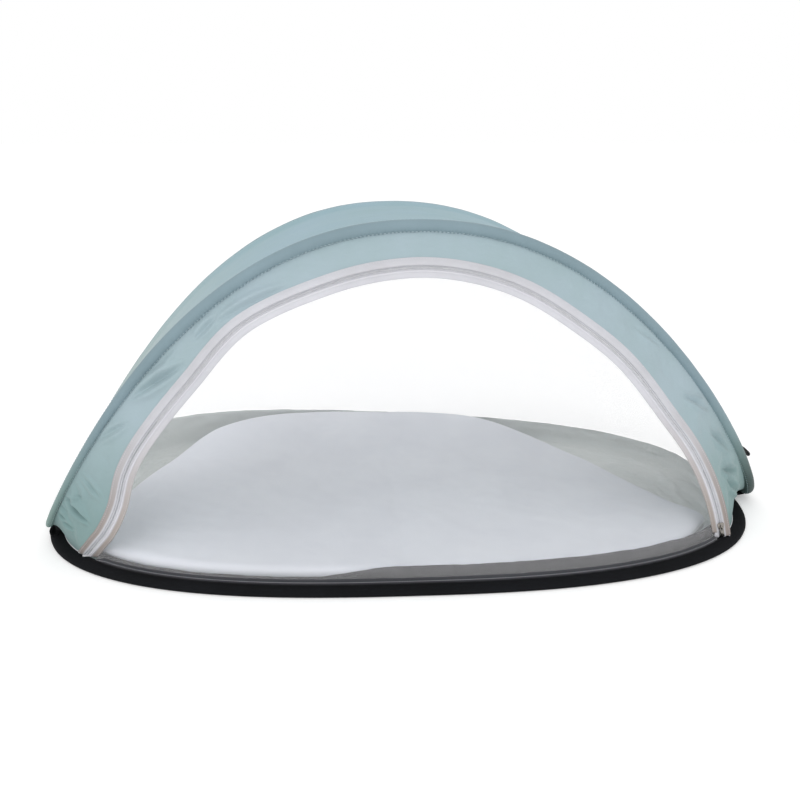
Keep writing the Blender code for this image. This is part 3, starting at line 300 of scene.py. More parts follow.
def unit(vectors):
    """Vectors scaled to length one."""
    vectors = np.asarray(vectors, dtype=float)
    return vectors / np.maximum(np.linalg.norm(vectors, axis=-1, keepdims=True), 1e-12)


def lengths_along(points):
    """Distance from the first point to each point of a polyline."""
    steps = np.linalg.norm(np.diff(points, axis=0), axis=1)
    return np.concatenate([[0.0], np.cumsum(steps)])


def cut_line(line, start, end, count):
    """Evenly spread points of a line between two distances along it."""
    along = lengths_along(line)
    wanted = np.linspace(start, end, count)
    return np.stack([np.interp(wanted, along, line[:, axis]) for axis in range(line.shape[1])], axis=1)


def resample(line, count):
    """A line's points spread evenly over its length."""
    return cut_line(line, 0.0, lengths_along(line)[-1], count)


def base_outline(inset):
    """Base oval moved inwards by an inset, with the inward direction at each point."""
    turn = np.linspace(0.0, 2 * np.pi, 4000, endpoint=False)
    power = 2.0 / BASE_CORNER_POWER
    x = BASE_HALF_LENGTH * np.sign(np.cos(turn)) * np.abs(np.cos(turn)) ** power
    depth = np.where(np.sin(turn) < 0, BASE_FRONT_DEPTH, BASE_REAR_DEPTH)
    taper = np.where(np.sin(turn) < 0, 0.0, BASE_REAR_TAPER)
    y = depth * np.sign(np.sin(turn)) * np.abs(np.sin(turn)) ** power * (1 - taper * x / BASE_HALF_LENGTH)
    outline = np.stack([x, y], axis=1)
    ring = resample(np.vstack([outline, outline[:1]]), 2001)[:-1]
    ahead = np.roll(ring, -1, axis=0) - np.roll(ring, 1, axis=0)
    inward = unit(np.stack([-ahead[:, 1], ahead[:, 0]], axis=1))
    return ring + inset * inward, inward


def base_stations(count):
    """Evenly spread places round the outer edge of the base, with their inward directions."""
    ring, inward = base_outline(0.0)
    chosen = np.round(np.arange(count) / count * len(ring)).astype(int) % len(ring)
    return np.pad(ring[chosen], ((0, 0), (0, 1))), np.pad(inward[chosen], ((0, 0), (0, 1)))


def base_run(inset, start, end, count, height):
    """Anticlockwise run of the inset oval between the points nearest to start and end."""
    ring, _ = base_outline(inset)
    first = int(np.argmin(np.linalg.norm(ring - np.asarray(start)[:2], axis=1)))
    last = int(np.argmin(np.linalg.norm(ring - np.asarray(end)[:2], axis=1)))
    last += len(ring) if last <= first else 0
    run = ring[np.arange(first, last + 1) % len(ring)]
    return resample(np.column_stack([run, np.full(len(run), height)]), count)


def base_edge_depth(x, inset):
    """Depth of the oval's front edge at a given x."""
    ring, _ = base_outline(inset)
    front = ring[ring[:, 1] < 0]
    order = np.argsort(front[:, 0])
    return float(np.interp(x, front[order, 0], front[order, 1]))


perimeter = lengths_along(base_outline(0.0)[0])[-1]
print("base perimeter in m:", round(float(perimeter), 3))

# %% The roof's edge
def arch_profile():
    """Arch of the roof in its own plane: distance along it, x and height."""
    x = ROOF_HALF_SPAN * np.sin(np.linspace(-np.pi / 2, np.pi / 2, 2001))
    share = np.clip(1 - np.abs(x / ROOF_HALF_SPAN) ** ROOF_SPREAD_POWER, 0.0, 1.0)
    z = ROOF_RISE * share ** ROOF_SHOULDER_POWER
    along = lengths_along(np.stack([x, z], axis=1))
    return along - along[-1] / 2, x, z


def roof_to_world(x, across, z):
    """Arch coordinates turned, leaned and set down on the base."""
    y = across + z * math.tan(ROOF_LEAN)
    rise = LEFT_TIP_HEIGHT + ((RIGHT_TIP_HEIGHT - LEFT_TIP_HEIGHT) * (x + ROOF_HALF_SPAN)
                              / (2 * ROOF_HALF_SPAN))
    world_x = x * math.cos(ROOF_SKEW) - y * math.sin(ROOF_SKEW) + ROOF_SHIFT_X + ROOF_SLANT * z
    world_y = x * math.sin(ROOF_SKEW) + y * math.cos(ROOF_SKEW) + ROOF_SHIFT_Y
    return np.stack([world_x, world_y, z + rise], axis=-1)


def roof_point(distance, across):
    """Places at distances along the arch from its crown, and across the sheet."""
    along, x, z = arch_profile()
    return roof_to_world(np.interp(distance, along, x), across, np.interp(distance, along, z))


def roof_frames(turn):
    """Places on the roof's edge, the direction into the sheet and the outward normal there."""
    half = arch_profile()[0][-1]
    distance, across = -half * np.cos(turn), -ROOF_WIDTH / 2 * np.sin(turn)
    places, ahead, behind = (roof_point(distance + step, across) for step in (0.0, 0.0005, -0.0005))
    lengthwise = unit(ahead - behind)
    still = np.zeros(len(turn))
    crosswise = unit(roof_to_world(still, still + 1.0, still) - roof_to_world(still, still, still))
    normals = unit(np.cross(lengthwise, crosswise))
    headings = unit(lengthwise * (half * np.sin(turn))[:, None]
                    - crosswise * (ROOF_WIDTH / 2 * np.cos(turn))[:, None])
    return places, unit(np.cross(normals, headings)), normals


def roof_edge(count):
    """Stations right round the roof's edge, closer together at the two tips."""
    turn = np.linspace(0.0, 2 * np.pi, count, endpoint=False)
    return roof_frames(turn + 0.15 * np.sin(2 * turn))


def arch_edge(front, count):
    """Evenly spread points of the front or rear arch, from just off the left tip to the right."""
    turn = np.linspace(ROOF_TIP_TURN, np.pi - ROOF_TIP_TURN, 1001)
    return resample(roof_frames(turn if front else -turn)[0], count)


roof_half_length = float(arch_profile()[0][-1])
print("roof sheet, flat, in m:", round(2 * roof_half_length, 3), "by", ROOF_WIDTH)

# %% [markdown]
# The zip's path. It lies in one upright plane, runs from the base on the left over the crown to the
# base on the right, and ends there on an arc of 0.42 m radius, along which the slider can run.

# %% The zip's path
ZIP_DROP = 0.052
ZIP_PLANE_Y = -0.193
ZIP_TURN = math.radians(2.58)
ZIP_ARC_RADIUS = 0.420
ZIP_FOOT_REACH = 0.470044
ZIP_FOOT_TILT = math.radians(12.7)
ZIP_ARC_SPAN = math.radians(27.4)
ZIP_LEFT_FOOT = ((-0.835, 0.019), (-0.795, 0.086), (-0.758, 0.149))
ZIP_ARCH = (
    (-0.724, 0.235), (-0.693, 0.360), (-0.636, 0.480), (-0.531, 0.645), (-0.391, 0.837),
    (-0.185, 0.956), (-0.018, 1.000), (0.127, 0.989), (0.271, 0.930), (0.407, 0.823), (0.549, 0.674),
)
OUTER_TAPE_EDGE = 0.0130
INNER_TAPE_EDGE = 0.0125
SEAM_LEVEL = BINDING_HEIGHT + GAP
ZIP_FRONT = np.array([math.sin(ZIP_TURN), -math.cos(ZIP_TURN), 0.0])


def spline(points, steps):
    """Smooth open curve through the points, with a number of steps between neighbours."""
    points = np.asarray(points, dtype=float)
    padded = np.vstack([2 * points[0] - points[1], points, 2 * points[-1] - points[-2]])
    curve = []
    for start, first, second, end in zip(padded[:-3], padded[1:-2], padded[2:-1], padded[3:]):
        for t in np.arange(steps) / steps:
            curve.append(0.5 * (2 * first + (second - start) * t
                                + (2 * start - 5 * first + 4 * second - end) * t ** 2
                                + (3 * first - start - 3 * second + end) * t ** 3))
    return np.array(curve + [points[-1]])


def zip_plane_point(along, height):
    """World point of the zip's upright plane."""
    return np.array([along * math.cos(ZIP_TURN), ZIP_PLANE_Y + along * math.sin(ZIP_TURN), height])


def zip_arc_point(angle):
    """World point on the right foot's arc."""
    centre_along = ZIP_FOOT_REACH - ZIP_ARC_RADIUS * math.cos(ZIP_FOOT_TILT)
    centre_height = SEAM_LEVEL - ZIP_ARC_RADIUS * math.sin(ZIP_FOOT_TILT)
    return zip_plane_point(centre_along + ZIP_ARC_RADIUS * math.cos(angle),
                           centre_height + ZIP_ARC_RADIUS * math.sin(angle))


def zip_path():
    """Centre line of the zip from its left foot over the crown to its right foot."""
    height = roof_to_world(0.0, -ROOF_WIDTH / 2, ROOF_RISE)[2] - ZIP_DROP
    points = []
    for share_x, share_z in ZIP_LEFT_FOOT:
        x = share_x * BASE_HALF_LENGTH
        points.append((x, base_edge_depth(x, SEAM_INSET), share_z * height))
    for share_x, share_z in ZIP_ARCH:
        points.append(zip_plane_point(share_x * BASE_HALF_LENGTH / math.cos(ZIP_TURN), share_z * height))
    angles = np.linspace(ZIP_FOOT_TILT + ZIP_ARC_SPAN, ZIP_FOOT_TILT, 24)
    arc = np.array([zip_arc_point(angle) for angle in angles])
    return np.vstack([spline(np.vstack([points, arc[:1]]), 12)[:-1], arc])


ZIP_LINE = zip_path()
ZIP_OUTWARD = unit(np.cross(ZIP_FRONT, unit(np.gradient(ZIP_LINE, axis=0))))


def zip_side_line(offset, left_height=0.0, right_height=0.0, count=400, lift=0.0):
    """Line beside the zip's centre line, cut at a height over each foot and lifted to the front."""
    line = ZIP_LINE + offset * ZIP_OUTWARD
    along, middle = lengths_along(line), len(line) // 2
    start = np.interp(left_height, line[:middle, 2], along[:middle])
    end = np.interp(-right_height, -line[middle:, 2], along[middle:])
    return cut_line(line, start, end, count) + lift * ZIP_FRONT


print("zip length in m:", round(float(lengths_along(ZIP_LINE)[-1]), 3))

# %% [markdown]
# Two ways to make a mesh. Cloth is a grid of points, rows by columns, whose UV map is measured along
# the cloth in metres; Solidify then gives it its thickness. A seam, a stitch line or a row of teeth
# starts as a bare line of points, which Geometry Nodes turn into the repeated shape. In both cases
# the modifier's result is made plain at once, so the finished piece is only a mesh.

# %% Mesh helpers
def put_in_scene(name, mesh):
    """Object at the origin that holds a mesh, a light or a camera."""
    piece = bpy.data.objects.new(name, mesh)
    bpy.context.scene.collection.objects.link(piece)
    return piece


def settle(piece):
    """Replaces a piece's modifiers by their result."""
    graph = bpy.context.evaluated_depsgraph_get()
    mesh = bpy.data.meshes.new_from_object(piece.evaluated_get(graph), preserve_all_data_layers=True,
                                           depsgraph=graph)
    piece.modifiers.clear()
    piece.data = mesh
    mesh.name = piece.name
    return piece


def cloth(name, rows, material, thickness=0.0, wrap=False, lining=None, side=0.0):
    """Cloth from a grid of points; wrap joins its last column to its first."""
    rows = np.asarray(rows, dtype=float)
    if wrap:
        rows = np.concatenate([rows, rows[:, :1]], axis=1)
    u, v = (np.pad(np.linalg.norm(np.diff(rows, axis=axis), axis=2).cumsum(axis=axis).mean(axis=1 - axis),
                   (1, 0)) for axis in (1, 0))
    flat = np.stack(np.meshgrid(u, v), axis=-1).reshape(-1, 2)
    corner = np.arange(len(flat)).reshape(rows.shape[:2])
    faces = np.stack([corner[:-1, :-1], corner[:-1, 1:], corner[1:, 1:], corner[1:, :-1]], axis=-1)
    mesh = bpy.data.meshes.new(name)
    mesh.from_pydata(rows.reshape(-1, 3).tolist(), [], faces.reshape(-1, 4).tolist())
    mesh.uv_layers.new(name="cloth").data.foreach_set("uv", flat[faces.ravel()].ravel())
    mesh.materials.append(material)
    if lining is not None:
        mesh.materials.append(lining)
    if wrap:
        shell = bmesh.new()
        shell.from_mesh(mesh)
        bmesh.ops.remove_doubles(shell, verts=shell.verts, dist=1e-6)
        shell.to_mesh(mesh)
        shell.free()
    mesh.shade_smooth()
    piece = put_in_scene(name, mesh)
    if thickness:
        solid = piece.modifiers.new("thickness", "SOLIDIFY")
        solid.thickness = thickness
        solid.offset = side
        solid.material_offset = 1 if lining is not None else 0
        settle(piece)
    return piece


def grid_normals(rows):
    """Unit normals of a grid of points."""
    return unit(np.cross(np.gradient(rows, axis=1), np.gradient(rows, axis=0)))


def ruled(first, second, shares):
    """Rows of points between two lines, at these shares of the way."""
    shares = np.asarray(shares, dtype=float)[:, None, None]
    return first[None] * (1 - shares) + second[None] * shares


def raised(points, heights):
    """Points lifted by one height, or each by its own."""
    return points + np.array((0, 0, 1)) * np.asarray(heights)[..., None]


def rumple(points, size, seed, octaves=2):
    """Smooth noise from about -1 to 1 at each point, with bumps of a given size in metres."""
    points = np.asarray(points, dtype=float)
    apart = Vector((seed * 7.3, seed * 3.1, seed * 5.7))
    values = [noise.fractal(Vector(point / size) + apart, 1.0, 2.0, octaves)
              for point in points.reshape(-1, 3)]
    return np.array(values).reshape(points.shape[:-1])


print("mesh helpers are ready")

# %% [markdown]
# One Geometry Nodes tree sews every seam of the bed. It takes a line of points, spaces them by the
# pitch, and puts a short thread on each, turned along the line. Instances keep the tree light while
# it works; Realize Instances makes them real at the end, because an exported model can't hold them.

# %% Geometry Nodes: a run of stitches
def group_inputs(tree, sizes):
    """Adds a geometry input, named sizes and a material to a tree's interface."""
    tree.interface.new_socket("Geometry", in_out="INPUT", socket_type="NodeSocketGeometry")
    for name, value in sizes.items():
        socket = tree.interface.new_socket(name, in_out="INPUT", socket_type="NodeSocketFloat")
        socket.default_value = value
    tree.interface.new_socket("Material", in_out="INPUT", socket_type="NodeSocketMaterial")
    tree.interface.new_socket("Geometry", in_out="OUTPUT", socket_type="NodeSocketGeometry")
    return add_node(tree, "NodeGroupInput").outputs


def finish_tree(tree, instances, source):
    """Makes instances real, gives them their material and joins them to the tree's output."""
    real = add_node(tree, "GeometryNodeRealizeInstances", {"Geometry": instances})
    smooth = add_node(tree, "GeometryNodeSetShadeSmooth", {"Geometry": real, "Shade Smooth": True})
    coated = add_node(tree, "GeometryNodeSetMaterial", {"Geometry": smooth, "Material": source["Material"]})
    add_node(tree, "NodeGroupOutput", {"Geometry": coated})


def pitch_points(tree, source):
    """Points at the pitch along the line that comes in, and the turn that follows it."""
    line = add_node(tree, "GeometryNodeMeshToCurve", {0: source["Geometry"]})
    spaced = add_node(tree, "GeometryNodeResampleCurve", {"Curve": line, "Length": source["Pitch"]},
                      mode="LENGTH")
    tangent = add_node(tree, "GeometryNodeInputTangent")
    return spaced, add_node(tree, "FunctionNodeAlignRotationToVector", {"Vector": tangent}, axis="Z")


def stitch_tree():
    """Tree that sews along a line of points."""
    tree = bpy.data.node_groups.new("stitches along a seam", "GeometryNodeTree")
    source = group_inputs(tree, {"Pitch": 0.004, "Stitch": 0.0028, "Thread": 0.0005})
    spaced, turn = pitch_points(tree, source)
    bead = add_node(tree, "GeometryNodeMeshUVSphere", {"Segments": 6, "Rings": 4, "Radius": 0.5})
    size = add_node(tree, "ShaderNodeCombineXYZ",
                    {"X": source["Thread"], "Y": source["Thread"], "Z": source["Stitch"]})
    sewn = add_node(tree, "GeometryNodeInstanceOnPoints",
                    {"Points": spaced, "Instance": bead, "Rotation": turn, "Scale": size})
    finish_tree(tree, sewn, source)
    return tree


def piping_tree():
    """Tree that runs a round cord along a line of points."""
    tree = bpy.data.node_groups.new("piping along a seam", "GeometryNodeTree")
    source = group_inputs(tree, {"Radius": 0.0008})
    line = add_node(tree, "GeometryNodeMeshToCurve", {0: source["Geometry"]})
    section = add_node(tree, "GeometryNodeCurvePrimitiveCircle",
                       {"Resolution": 8, "Radius": source["Radius"]})
    cord = add_node(tree, "GeometryNodeCurveToMesh",
                    {"Curve": line, "Profile Curve": section, "Fill Caps": True})
    finish_tree(tree, cord, source)
    return tree


STITCHES = stitch_tree()
PIPING = piping_tree()


def along_line(name, tree, line, material, closed=False, **sizes):
    """Piece that a Geometry Nodes tree makes along a line of points."""
    mesh = bpy.data.meshes.new(name)
    edges = [(index, index + 1) for index in range(len(line) - 1)]
    if closed:
        edges.append((len(line) - 1, 0))
    mesh.from_pydata(np.asarray(line).tolist(), edges, [])
    piece = put_in_scene(name, mesh)
    maker = piece.modifiers.new(tree.name, "NODES")
    maker.node_group = tree
    values = {**sizes, "Material": material}
    for socket in tree.interface.items_tree:
        if socket.in_out == "INPUT" and socket.name in values:
            maker[socket.identifier] = values[socket.name]
    return settle(piece)


print("stitch tree:", len(STITCHES.nodes), "nodes")

# %% [markdown]
# The black binding. On the real bed it is a woven tape folded round the edge of the floor with the
# steel loop inside, and topstitched near its inner edge. A folded section is carried round the oval:
# flat under the floor, round at the outside over the wire, then a gentle dip where the stitches pull
# it down. Its inner edge is cut and sewn by hand, so it wanders by about a millimetre.

# %% Binding
BINDING_COLUMNS = 900
BINDING_THICKNESS = 0.0009
BINDING_SECTION = (
    (0.0216, 0.0006), (0.0140, 0.0005), (0.0060, 0.0005), (0.0024, 0.0008), (0.0009, 0.0020),
    (0.0005, 0.0036), (0.0008, 0.0053), (0.0020, 0.0068), (0.0044, 0.0076), (0.0078, 0.0078),
    (0.0115, 0.0075), (0.0150, 0.0071), (0.0180, 0.0067), (0.0200, 0.0069), (0.0213, 0.0069),
    (0.0221, 0.0063),
)
BINDING_UNDERSIDE = 0.003
BINDING_HELD_TO = 0.006
BINDING_FREE_WIDTH = 0.014
BINDING_WANDER = 0.0012
BINDING_PUCKER = 0.00035
STITCH_INSET = 0.0190
STITCH_LEVEL = 0.0080


def make_binding():
    """Tape folded round the edge of the floor."""
    places, inward = base_stations(BINDING_COLUMNS)
    pucker = rumple(places, 0.009, 1)
    wander = rumple(places, 0.022, 2) + 0.9 * rumple(places, 0.011, 20)
    rows = []
    for inset, level in BINDING_SECTION:
        ease = smooth_share((inset - BINDING_HELD_TO) / BINDING_FREE_WIDTH)
        shift = (wander + 0.3) * BINDING_WANDER * ease
        rise = pucker * BINDING_PUCKER * ease * (level > BINDING_UNDERSIDE)
        rows.append(raised(places + inward * (inset + shift)[:, None], level + rise))
    return cloth("binding", rows, binding_tape, thickness=BINDING_THICKNESS, wrap=True, side=1.0)


binding = make_binding()
stitch_ring, _ = base_outline(STITCH_INSET)
stitch_ring = np.column_stack([stitch_ring, np.full(len(stitch_ring), STITCH_LEVEL)])
binding_stitches = along_line("binding_stitches", STITCHES, stitch_ring, black_thread, closed=True,
                              Pitch=0.0042, Stitch=0.0030, Thread=0.0006)
print("binding faces:", len(binding.data.polygons))

# %% [markdown]
# The plan of the mattress pad comes first, because the floor cloth below it lies flat only where the
# pad presses on it. The plan is a smooth closed curve through a few places round the free floor.

# %% The pad's plan
PAD_TOP = 0.0235
PAD_CURL = (0.12, 0.18, 0.026)
PAD_PLAN = (
    (0.898, -0.485), (0.835, -0.285), (0.752, 0.015), (0.640, 0.400), (0.495, 0.680), (0.310, 0.905),
    (0.105, 0.985), (-0.115, 0.990), (-0.310, 0.990), (-0.470, 0.960), (-0.600, 0.880), (-0.705, 0.740),
    (-0.800, 0.440), (-0.860, 0.140), (-0.895, -0.190), (-0.895, -0.560), (-0.820, -0.820),
    (-0.560, -0.950), (-0.250, -0.990), (0.080, -0.995), (0.390, -0.968), (0.640, -0.880), (0.790, -0.745),
)
PAD_INSET = 0.0366
PAD_COLUMNS = 420
PAD_RIM = ((1.000, 0.46), (1.000, 0.55), (0.9985, 0.66), (0.995, 0.77), (0.989, 0.87), (0.980, 0.95),
           (0.967, 1.00))
PAD_MIDDLE = np.array((-0.004, 0.02))


def pad_outline():
    """Plan of the pad, anticlockwise from its right tip, kept inside the side wall."""
    half_length = BASE_HALF_LENGTH - PAD_INSET
    plan = [(x * half_length, y * ((BASE_FRONT_DEPTH if y < 0 else BASE_REAR_DEPTH) - PAD_INSET))
            for x, y in PAD_PLAN]
    kept = []
    for x, y in spline(plan[-2:] + plan + plan[:2], 16)[32:-32]:
        depth = BASE_FRONT_DEPTH if y < 0 else BASE_REAR_DEPTH * (1 - BASE_REAR_TAPER * x / BASE_HALF_LENGTH)
        level = (abs(x) / half_length) ** BASE_CORNER_POWER
        level += (abs(y) / (depth - PAD_INSET)) ** BASE_CORNER_POWER
        kept.append(np.array((x, y)) / max(level, 1.0) ** (1 / BASE_CORNER_POWER))
    kept = np.array(kept)
    return resample(np.vstack([kept, kept[:1]]), PAD_COLUMNS + 1)[:-1]


print("pad plan in m:", np.ptp(pad_outline(), axis=0).round(3))

# %% [markdown]
# The floor and its low side wall. The floor is a coated cloth that lies flat and creases a little
# where nothing covers it. The wall is a strip of the same cloth turned up just inside the binding: its
# inner face shows the grey-green coating and its outer face the dark backing, which is the strip that
# shows under the pad at the front. It isn't stiff, so it leans in and out and its top edge waves.

# %% Floor and side wall
WALL_INSET = 0.0316
WALL_LEAN = 0.0020
WALL_COLUMNS = 900
WALL_REAR_HEIGHT = 0.048
WALL_REAR_FALL = 0.038
WALL_FRONT_LEFT = 0.0125
WALL_FRONT_RIGHT = 0.0270
WALL_WAVE = 0.0006
WALL_RIPPLE = 0.0003
WALL_FOLDS = 0.0024
BUNCH_X = 0.425
BUNCH_WIDTH = 0.035
BUNCH_RIPPLE = 0.0009
WALL_FLANGE = ((0.0120, 0.0016), (0.0080, 0.0032), (0.0050, 0.0042), (0.0026, 0.0056), (0.0010, 0.0074))
FLOOR_COLUMNS = 720
FLOOR_LEVEL = 0.0021
FLOOR_RISE = 0.0008
FLOOR_FOLDS = 0.0052
EDGE_EASE = 0.012
FLOOR_MIDDLE = (0.0, 0.02, 0.0024)
FLOOR_SEAM = 0.022


def side_wall_height(x, y):
    """Height of the low side wall's top edge above the ground."""
    rear = WALL_REAR_HEIGHT - WALL_REAR_FALL * x
    front = WALL_FRONT_LEFT + (WALL_FRONT_RIGHT - WALL_FRONT_LEFT) * smooth_share((x + 0.14) / 0.12)
    share = smooth_share(y / 0.16 + 0.5)
    return rear * share + front * (1 - share)


def outside_pad(points):
    """Share from 0 under the pad to 1 well outside it."""
    plan = pad_outline() - PAD_MIDDLE
    turn = np.arctan2(plan[:, 1], plan[:, 0])
    order = np.argsort(turn)
    away = points[..., :2] - PAD_MIDDLE
    reach = np.interp(np.arctan2(away[..., 1], away[..., 0]), turn[order],
                      np.linalg.norm(plan, axis=1)[order], period=2 * math.pi)
    return smooth_share((np.linalg.norm(away, axis=-1) - reach - 0.001) / EDGE_EASE)


def edge_folds(columns, level, size, seed, octaves=2):
    """Folds about three times as long along the base's edge as across it."""
    run = np.linspace(0.0, perimeter, columns, endpoint=False)
    places = np.column_stack([run * 0.30, np.full(columns, level), np.zeros(columns)])
    return rumple(places, size, seed, octaves)


def make_floor():
    """Floor cloth inside the binding, wrinkled where the pad doesn't press it flat."""
    places, inward = base_stations(FLOOR_COLUMNS)
    insets = np.concatenate([[0.0120, 0.0215], np.arange(0.0240, 0.1800, 0.0036), [0.2000, 0.2300]])
    rows = []
    for inset in insets:
        ring = places + inward * inset
        free = outside_pad(ring) * smooth_share((inset - WALL_INSET - 0.006) / EDGE_EASE)
        folds = np.clip(edge_folds(FLOOR_COLUMNS, inset, 0.024, 3, 3), -0.15, 1.0)
        rise = (FLOOR_RISE + FLOOR_FOLDS * folds * free) * (inset > FLOOR_SEAM)
        rows.append(raised(ring, FLOOR_LEVEL + rise))
    rows.append(np.broadcast_to(FLOOR_MIDDLE, places.shape))
    return cloth("floor", rows, floor_cloth, thickness=0.0008, wrap=True)


def make_wall():
    """Side wall with a dark outer face, a grey-green inner face and a flange on the floor."""
    places, inward = base_stations(WALL_COLUMNS)
    top = side_wall_height(places[:, 0], places[:, 1])
    wave, ripple = rumple(places, 0.05, 4), rumple(places, 0.016, 5)
    bunch = np.exp(-((places[:, 0] - BUNCH_X) / BUNCH_WIDTH) ** 2) * (places[:, 1] < 0)
    bow = WALL_WAVE * wave + (WALL_RIPPLE + BUNCH_RIPPLE * bunch) * ripple
    rows = [raised(places + inward * (WALL_INSET + inset), level) for inset, level in WALL_FLANGE]
    foot = WALL_FLANGE[-1][1]
    for share in np.linspace(0.10, 1.0, 12):
        level = foot + (top - foot) * share
        folds = edge_folds(WALL_COLUMNS, level, 0.015, 21)
        lean = WALL_LEAN * share + math.sin(share * 2.4) * (bow + WALL_FOLDS * folds)
        level = level + WALL_WAVE * ripple * share
        rows.append(raised(places + inward * (WALL_INSET + lean)[:, None], level))
    return cloth("side_wall", rows, wall_backing, thickness=0.0011, wrap=True, lining=floor_cloth)


floor = make_floor()
side_wall = make_wall()
print("floor and wall faces:", len(floor.data.polygons) + len(side_wall.data.polygons))

# %% [markdown]
# The mattress pad: a soft closed form, full in the middle, round at its rim, and sewn together at
# half height. Its plan follows the free floor but is rounder at the two far corners, and its far edge
# climbs the side wall. The cover is brushed cotton, cut a little too large and folded in half for
# packing. A short cloth simulation drops such a cover on a flat table with its rim held, and its folds
# are laid on the pad at less than half their height; a broad crease then crosses the middle.

# %% Pad
COVER_X = (-0.54, 0.54)
COVER_Y = (-0.31, 0.35)
COVER_GRID = (101, 61)
FINE_GRID = (401, 241)
COVER_STEPS = 30
COVER_CLOTH = {"quality": 5, "mass": 0.1, "tension_stiffness": 15, "compression_stiffness": 15,
               "shear_stiffness": 5, "bending_stiffness": 0.25, "shrink_min": -0.02,
               "vertex_group_mass": "rim", "air_damping": 2}
COVER_SHARE = 0.45
COVER_SMOOTHING = 14
PAD_UNDER_LEVEL = 0.0037
PAD_LOW = 0.0045
PAD_REAR_LIFT = 0.0040
PAD_LEFT_LIFT = 0.0040
PAD_SWELL = 0.0016
PAD_CRUMPLE = 0.0003
PAD_FOLD = 0.0026
PAD_FOLD_WIDTH = 0.014


def pad_height(x, y):
    """Height of the pad's top without its crumples."""
    start, depth, rise = PAD_CURL
    rise = rise + PAD_REAR_LIFT + PAD_LEFT_LIFT * smooth_share((0.10 - x) / 0.25)
    return PAD_TOP + rise * smooth_share((y - start) / depth)


def slack_cover():
    """Heights of a cloth 2 % too large that falls on a flat table, its rim held, on a grid of x and y."""
    across_x, across_y = (np.linspace(*span, count) for span, count in zip((COVER_X, COVER_Y), COVER_GRID))
    flat = np.zeros(COVER_GRID[::-1])
    rows = np.stack([*np.meshgrid(across_x, across_y), flat], axis=-1)
    away = outside_pad(rows)
    rows[..., 2] = 0.0022 + 0.0012 * rumple(rows, 0.06, 25)
    cover = cloth("slack_cover", rows, pad_cotton)
    table = put_in_scene("table_under_cover", bpy.data.meshes.new("table_under_cover"))
    table.data.from_pydata([(-1, -1, 0), (1, -1, 0), (1, 1, 0), (-1, 1, 0)], [], [(0, 1, 2, 3)])
    table.modifiers.new("touch", "COLLISION")
    table.collision.thickness_outer = 0.001
    held = cover.vertex_groups.new(name="rim")
    held.add(np.flatnonzero(away.ravel() > 0).tolist(), 1.0, "REPLACE")
    drape = cover.modifiers.new("drape", "CLOTH")
    for name, value in COVER_CLOTH.items():
        setattr(drape.settings, name, value)
    drape.collision_settings.distance_min = 0.001
    for step in range(1, COVER_STEPS + 1):
        bpy.context.scene.frame_set(step)
    settle(cover)
    heights = np.array([vertex.co.z for vertex in cover.data.vertices]).reshape(flat.shape)
    bpy.context.scene.frame_set(1)
    for helper in (cover, table):
        bpy.data.objects.remove(helper)
    fine_x, fine_y = (np.linspace(*span, count) for span, count in zip((COVER_X, COVER_Y), FINE_GRID))
    heights = np.array([np.interp(fine_x, across_x, line) for line in heights])
    heights = np.array([np.interp(fine_y, across_y, line) for line in heights.T]).T
    for _ in range(COVER_SMOOTHING):
        heights[1:-1] = (heights[:-2] + 2 * heights[1:-1] + heights[2:]) / 4
        heights[:, 1:-1] = (heights[:, :-2] + 2 * heights[:, 1:-1] + heights[:, 2:]) / 4
    return fine_x, fine_y, heights - heights.mean()


def read_grid(grid, places):
    """Height of a grid at each place, between its four nearest points."""
    across_x, across_y, heights = grid
    column, line = (np.clip((places[..., axis] - scale[0]) / (scale[1] - scale[0]), 0, len(scale) - 1.001)
                    for axis, scale in enumerate((across_x, across_y)))
    left, low = column.astype(int), line.astype(int)
    right, up = column - left, line - low
    return ((heights[low, left] * (1 - right) + heights[low, left + 1] * right) * (1 - up)
            + (heights[low + 1, left] * (1 - right) + heights[low + 1, left + 1] * right) * up)


SLACK = slack_cover()
print("slack cover's folds in mm:", (1000 * np.ptp(SLACK[2])).round(2))


def pad_ring(share):
    """The pad's outline drawn in towards its middle."""
    return PAD_MIDDLE + (pad_outline() - PAD_MIDDLE) * share


def make_pad():
    """Closed pad: its under side, its round rim and its crumpled top."""
    rings = [(0.0, 0.0), (0.45, 0.0), (0.90, 0.0), (0.985, 0.06), (0.996, 0.2), (1.0, 0.36)]
    rings += list(PAD_RIM) + [(share, 1.0) for share in np.linspace(0.955, 0.0, 96) ** 0.93]
    rows = []
    for share, rise in rings:
        plan = pad_ring(share)
        top = pad_height(plan[:, 0], plan[:, 1])
        rows.append(np.column_stack([plan, PAD_LOW + (top - PAD_LOW) * rise]))
    rows = np.array(rows)
    on_top = np.array([smooth_share((0.985 - share) / 0.05) if rise > 0.5 else 0.0
                       for share, rise in rings])[:, None]
    level = rows * (1.0, 1.0, 0.0)
    broad = rumple(level, 0.13, 6)
    fine = rumple(level * (1.0, 0.8, 0.0), 0.045, 7, 2)
    fold = np.exp(-((rows[..., 0] + 0.012 + 0.02 * rows[..., 1]) / PAD_FOLD_WIDTH) ** 2)
    rows[..., 2] += on_top * (PAD_SWELL * broad + PAD_CRUMPLE * fine - PAD_FOLD * fold
                              + COVER_SHARE * read_grid(SLACK, level))
    return cloth("pad", rows, pad_cotton, wrap=True)


pad = make_pad()
under_rows = [np.pad(pad_ring(share), ((0, 0), (0, 1)), constant_values=PAD_UNDER_LEVEL)
              for share in (1.0, 0.6, 0.0)]
under = cloth("pad_underside", under_rows, pad_backing, thickness=0.0006, wrap=True)
print("pad faces:", len(pad.data.polygons))

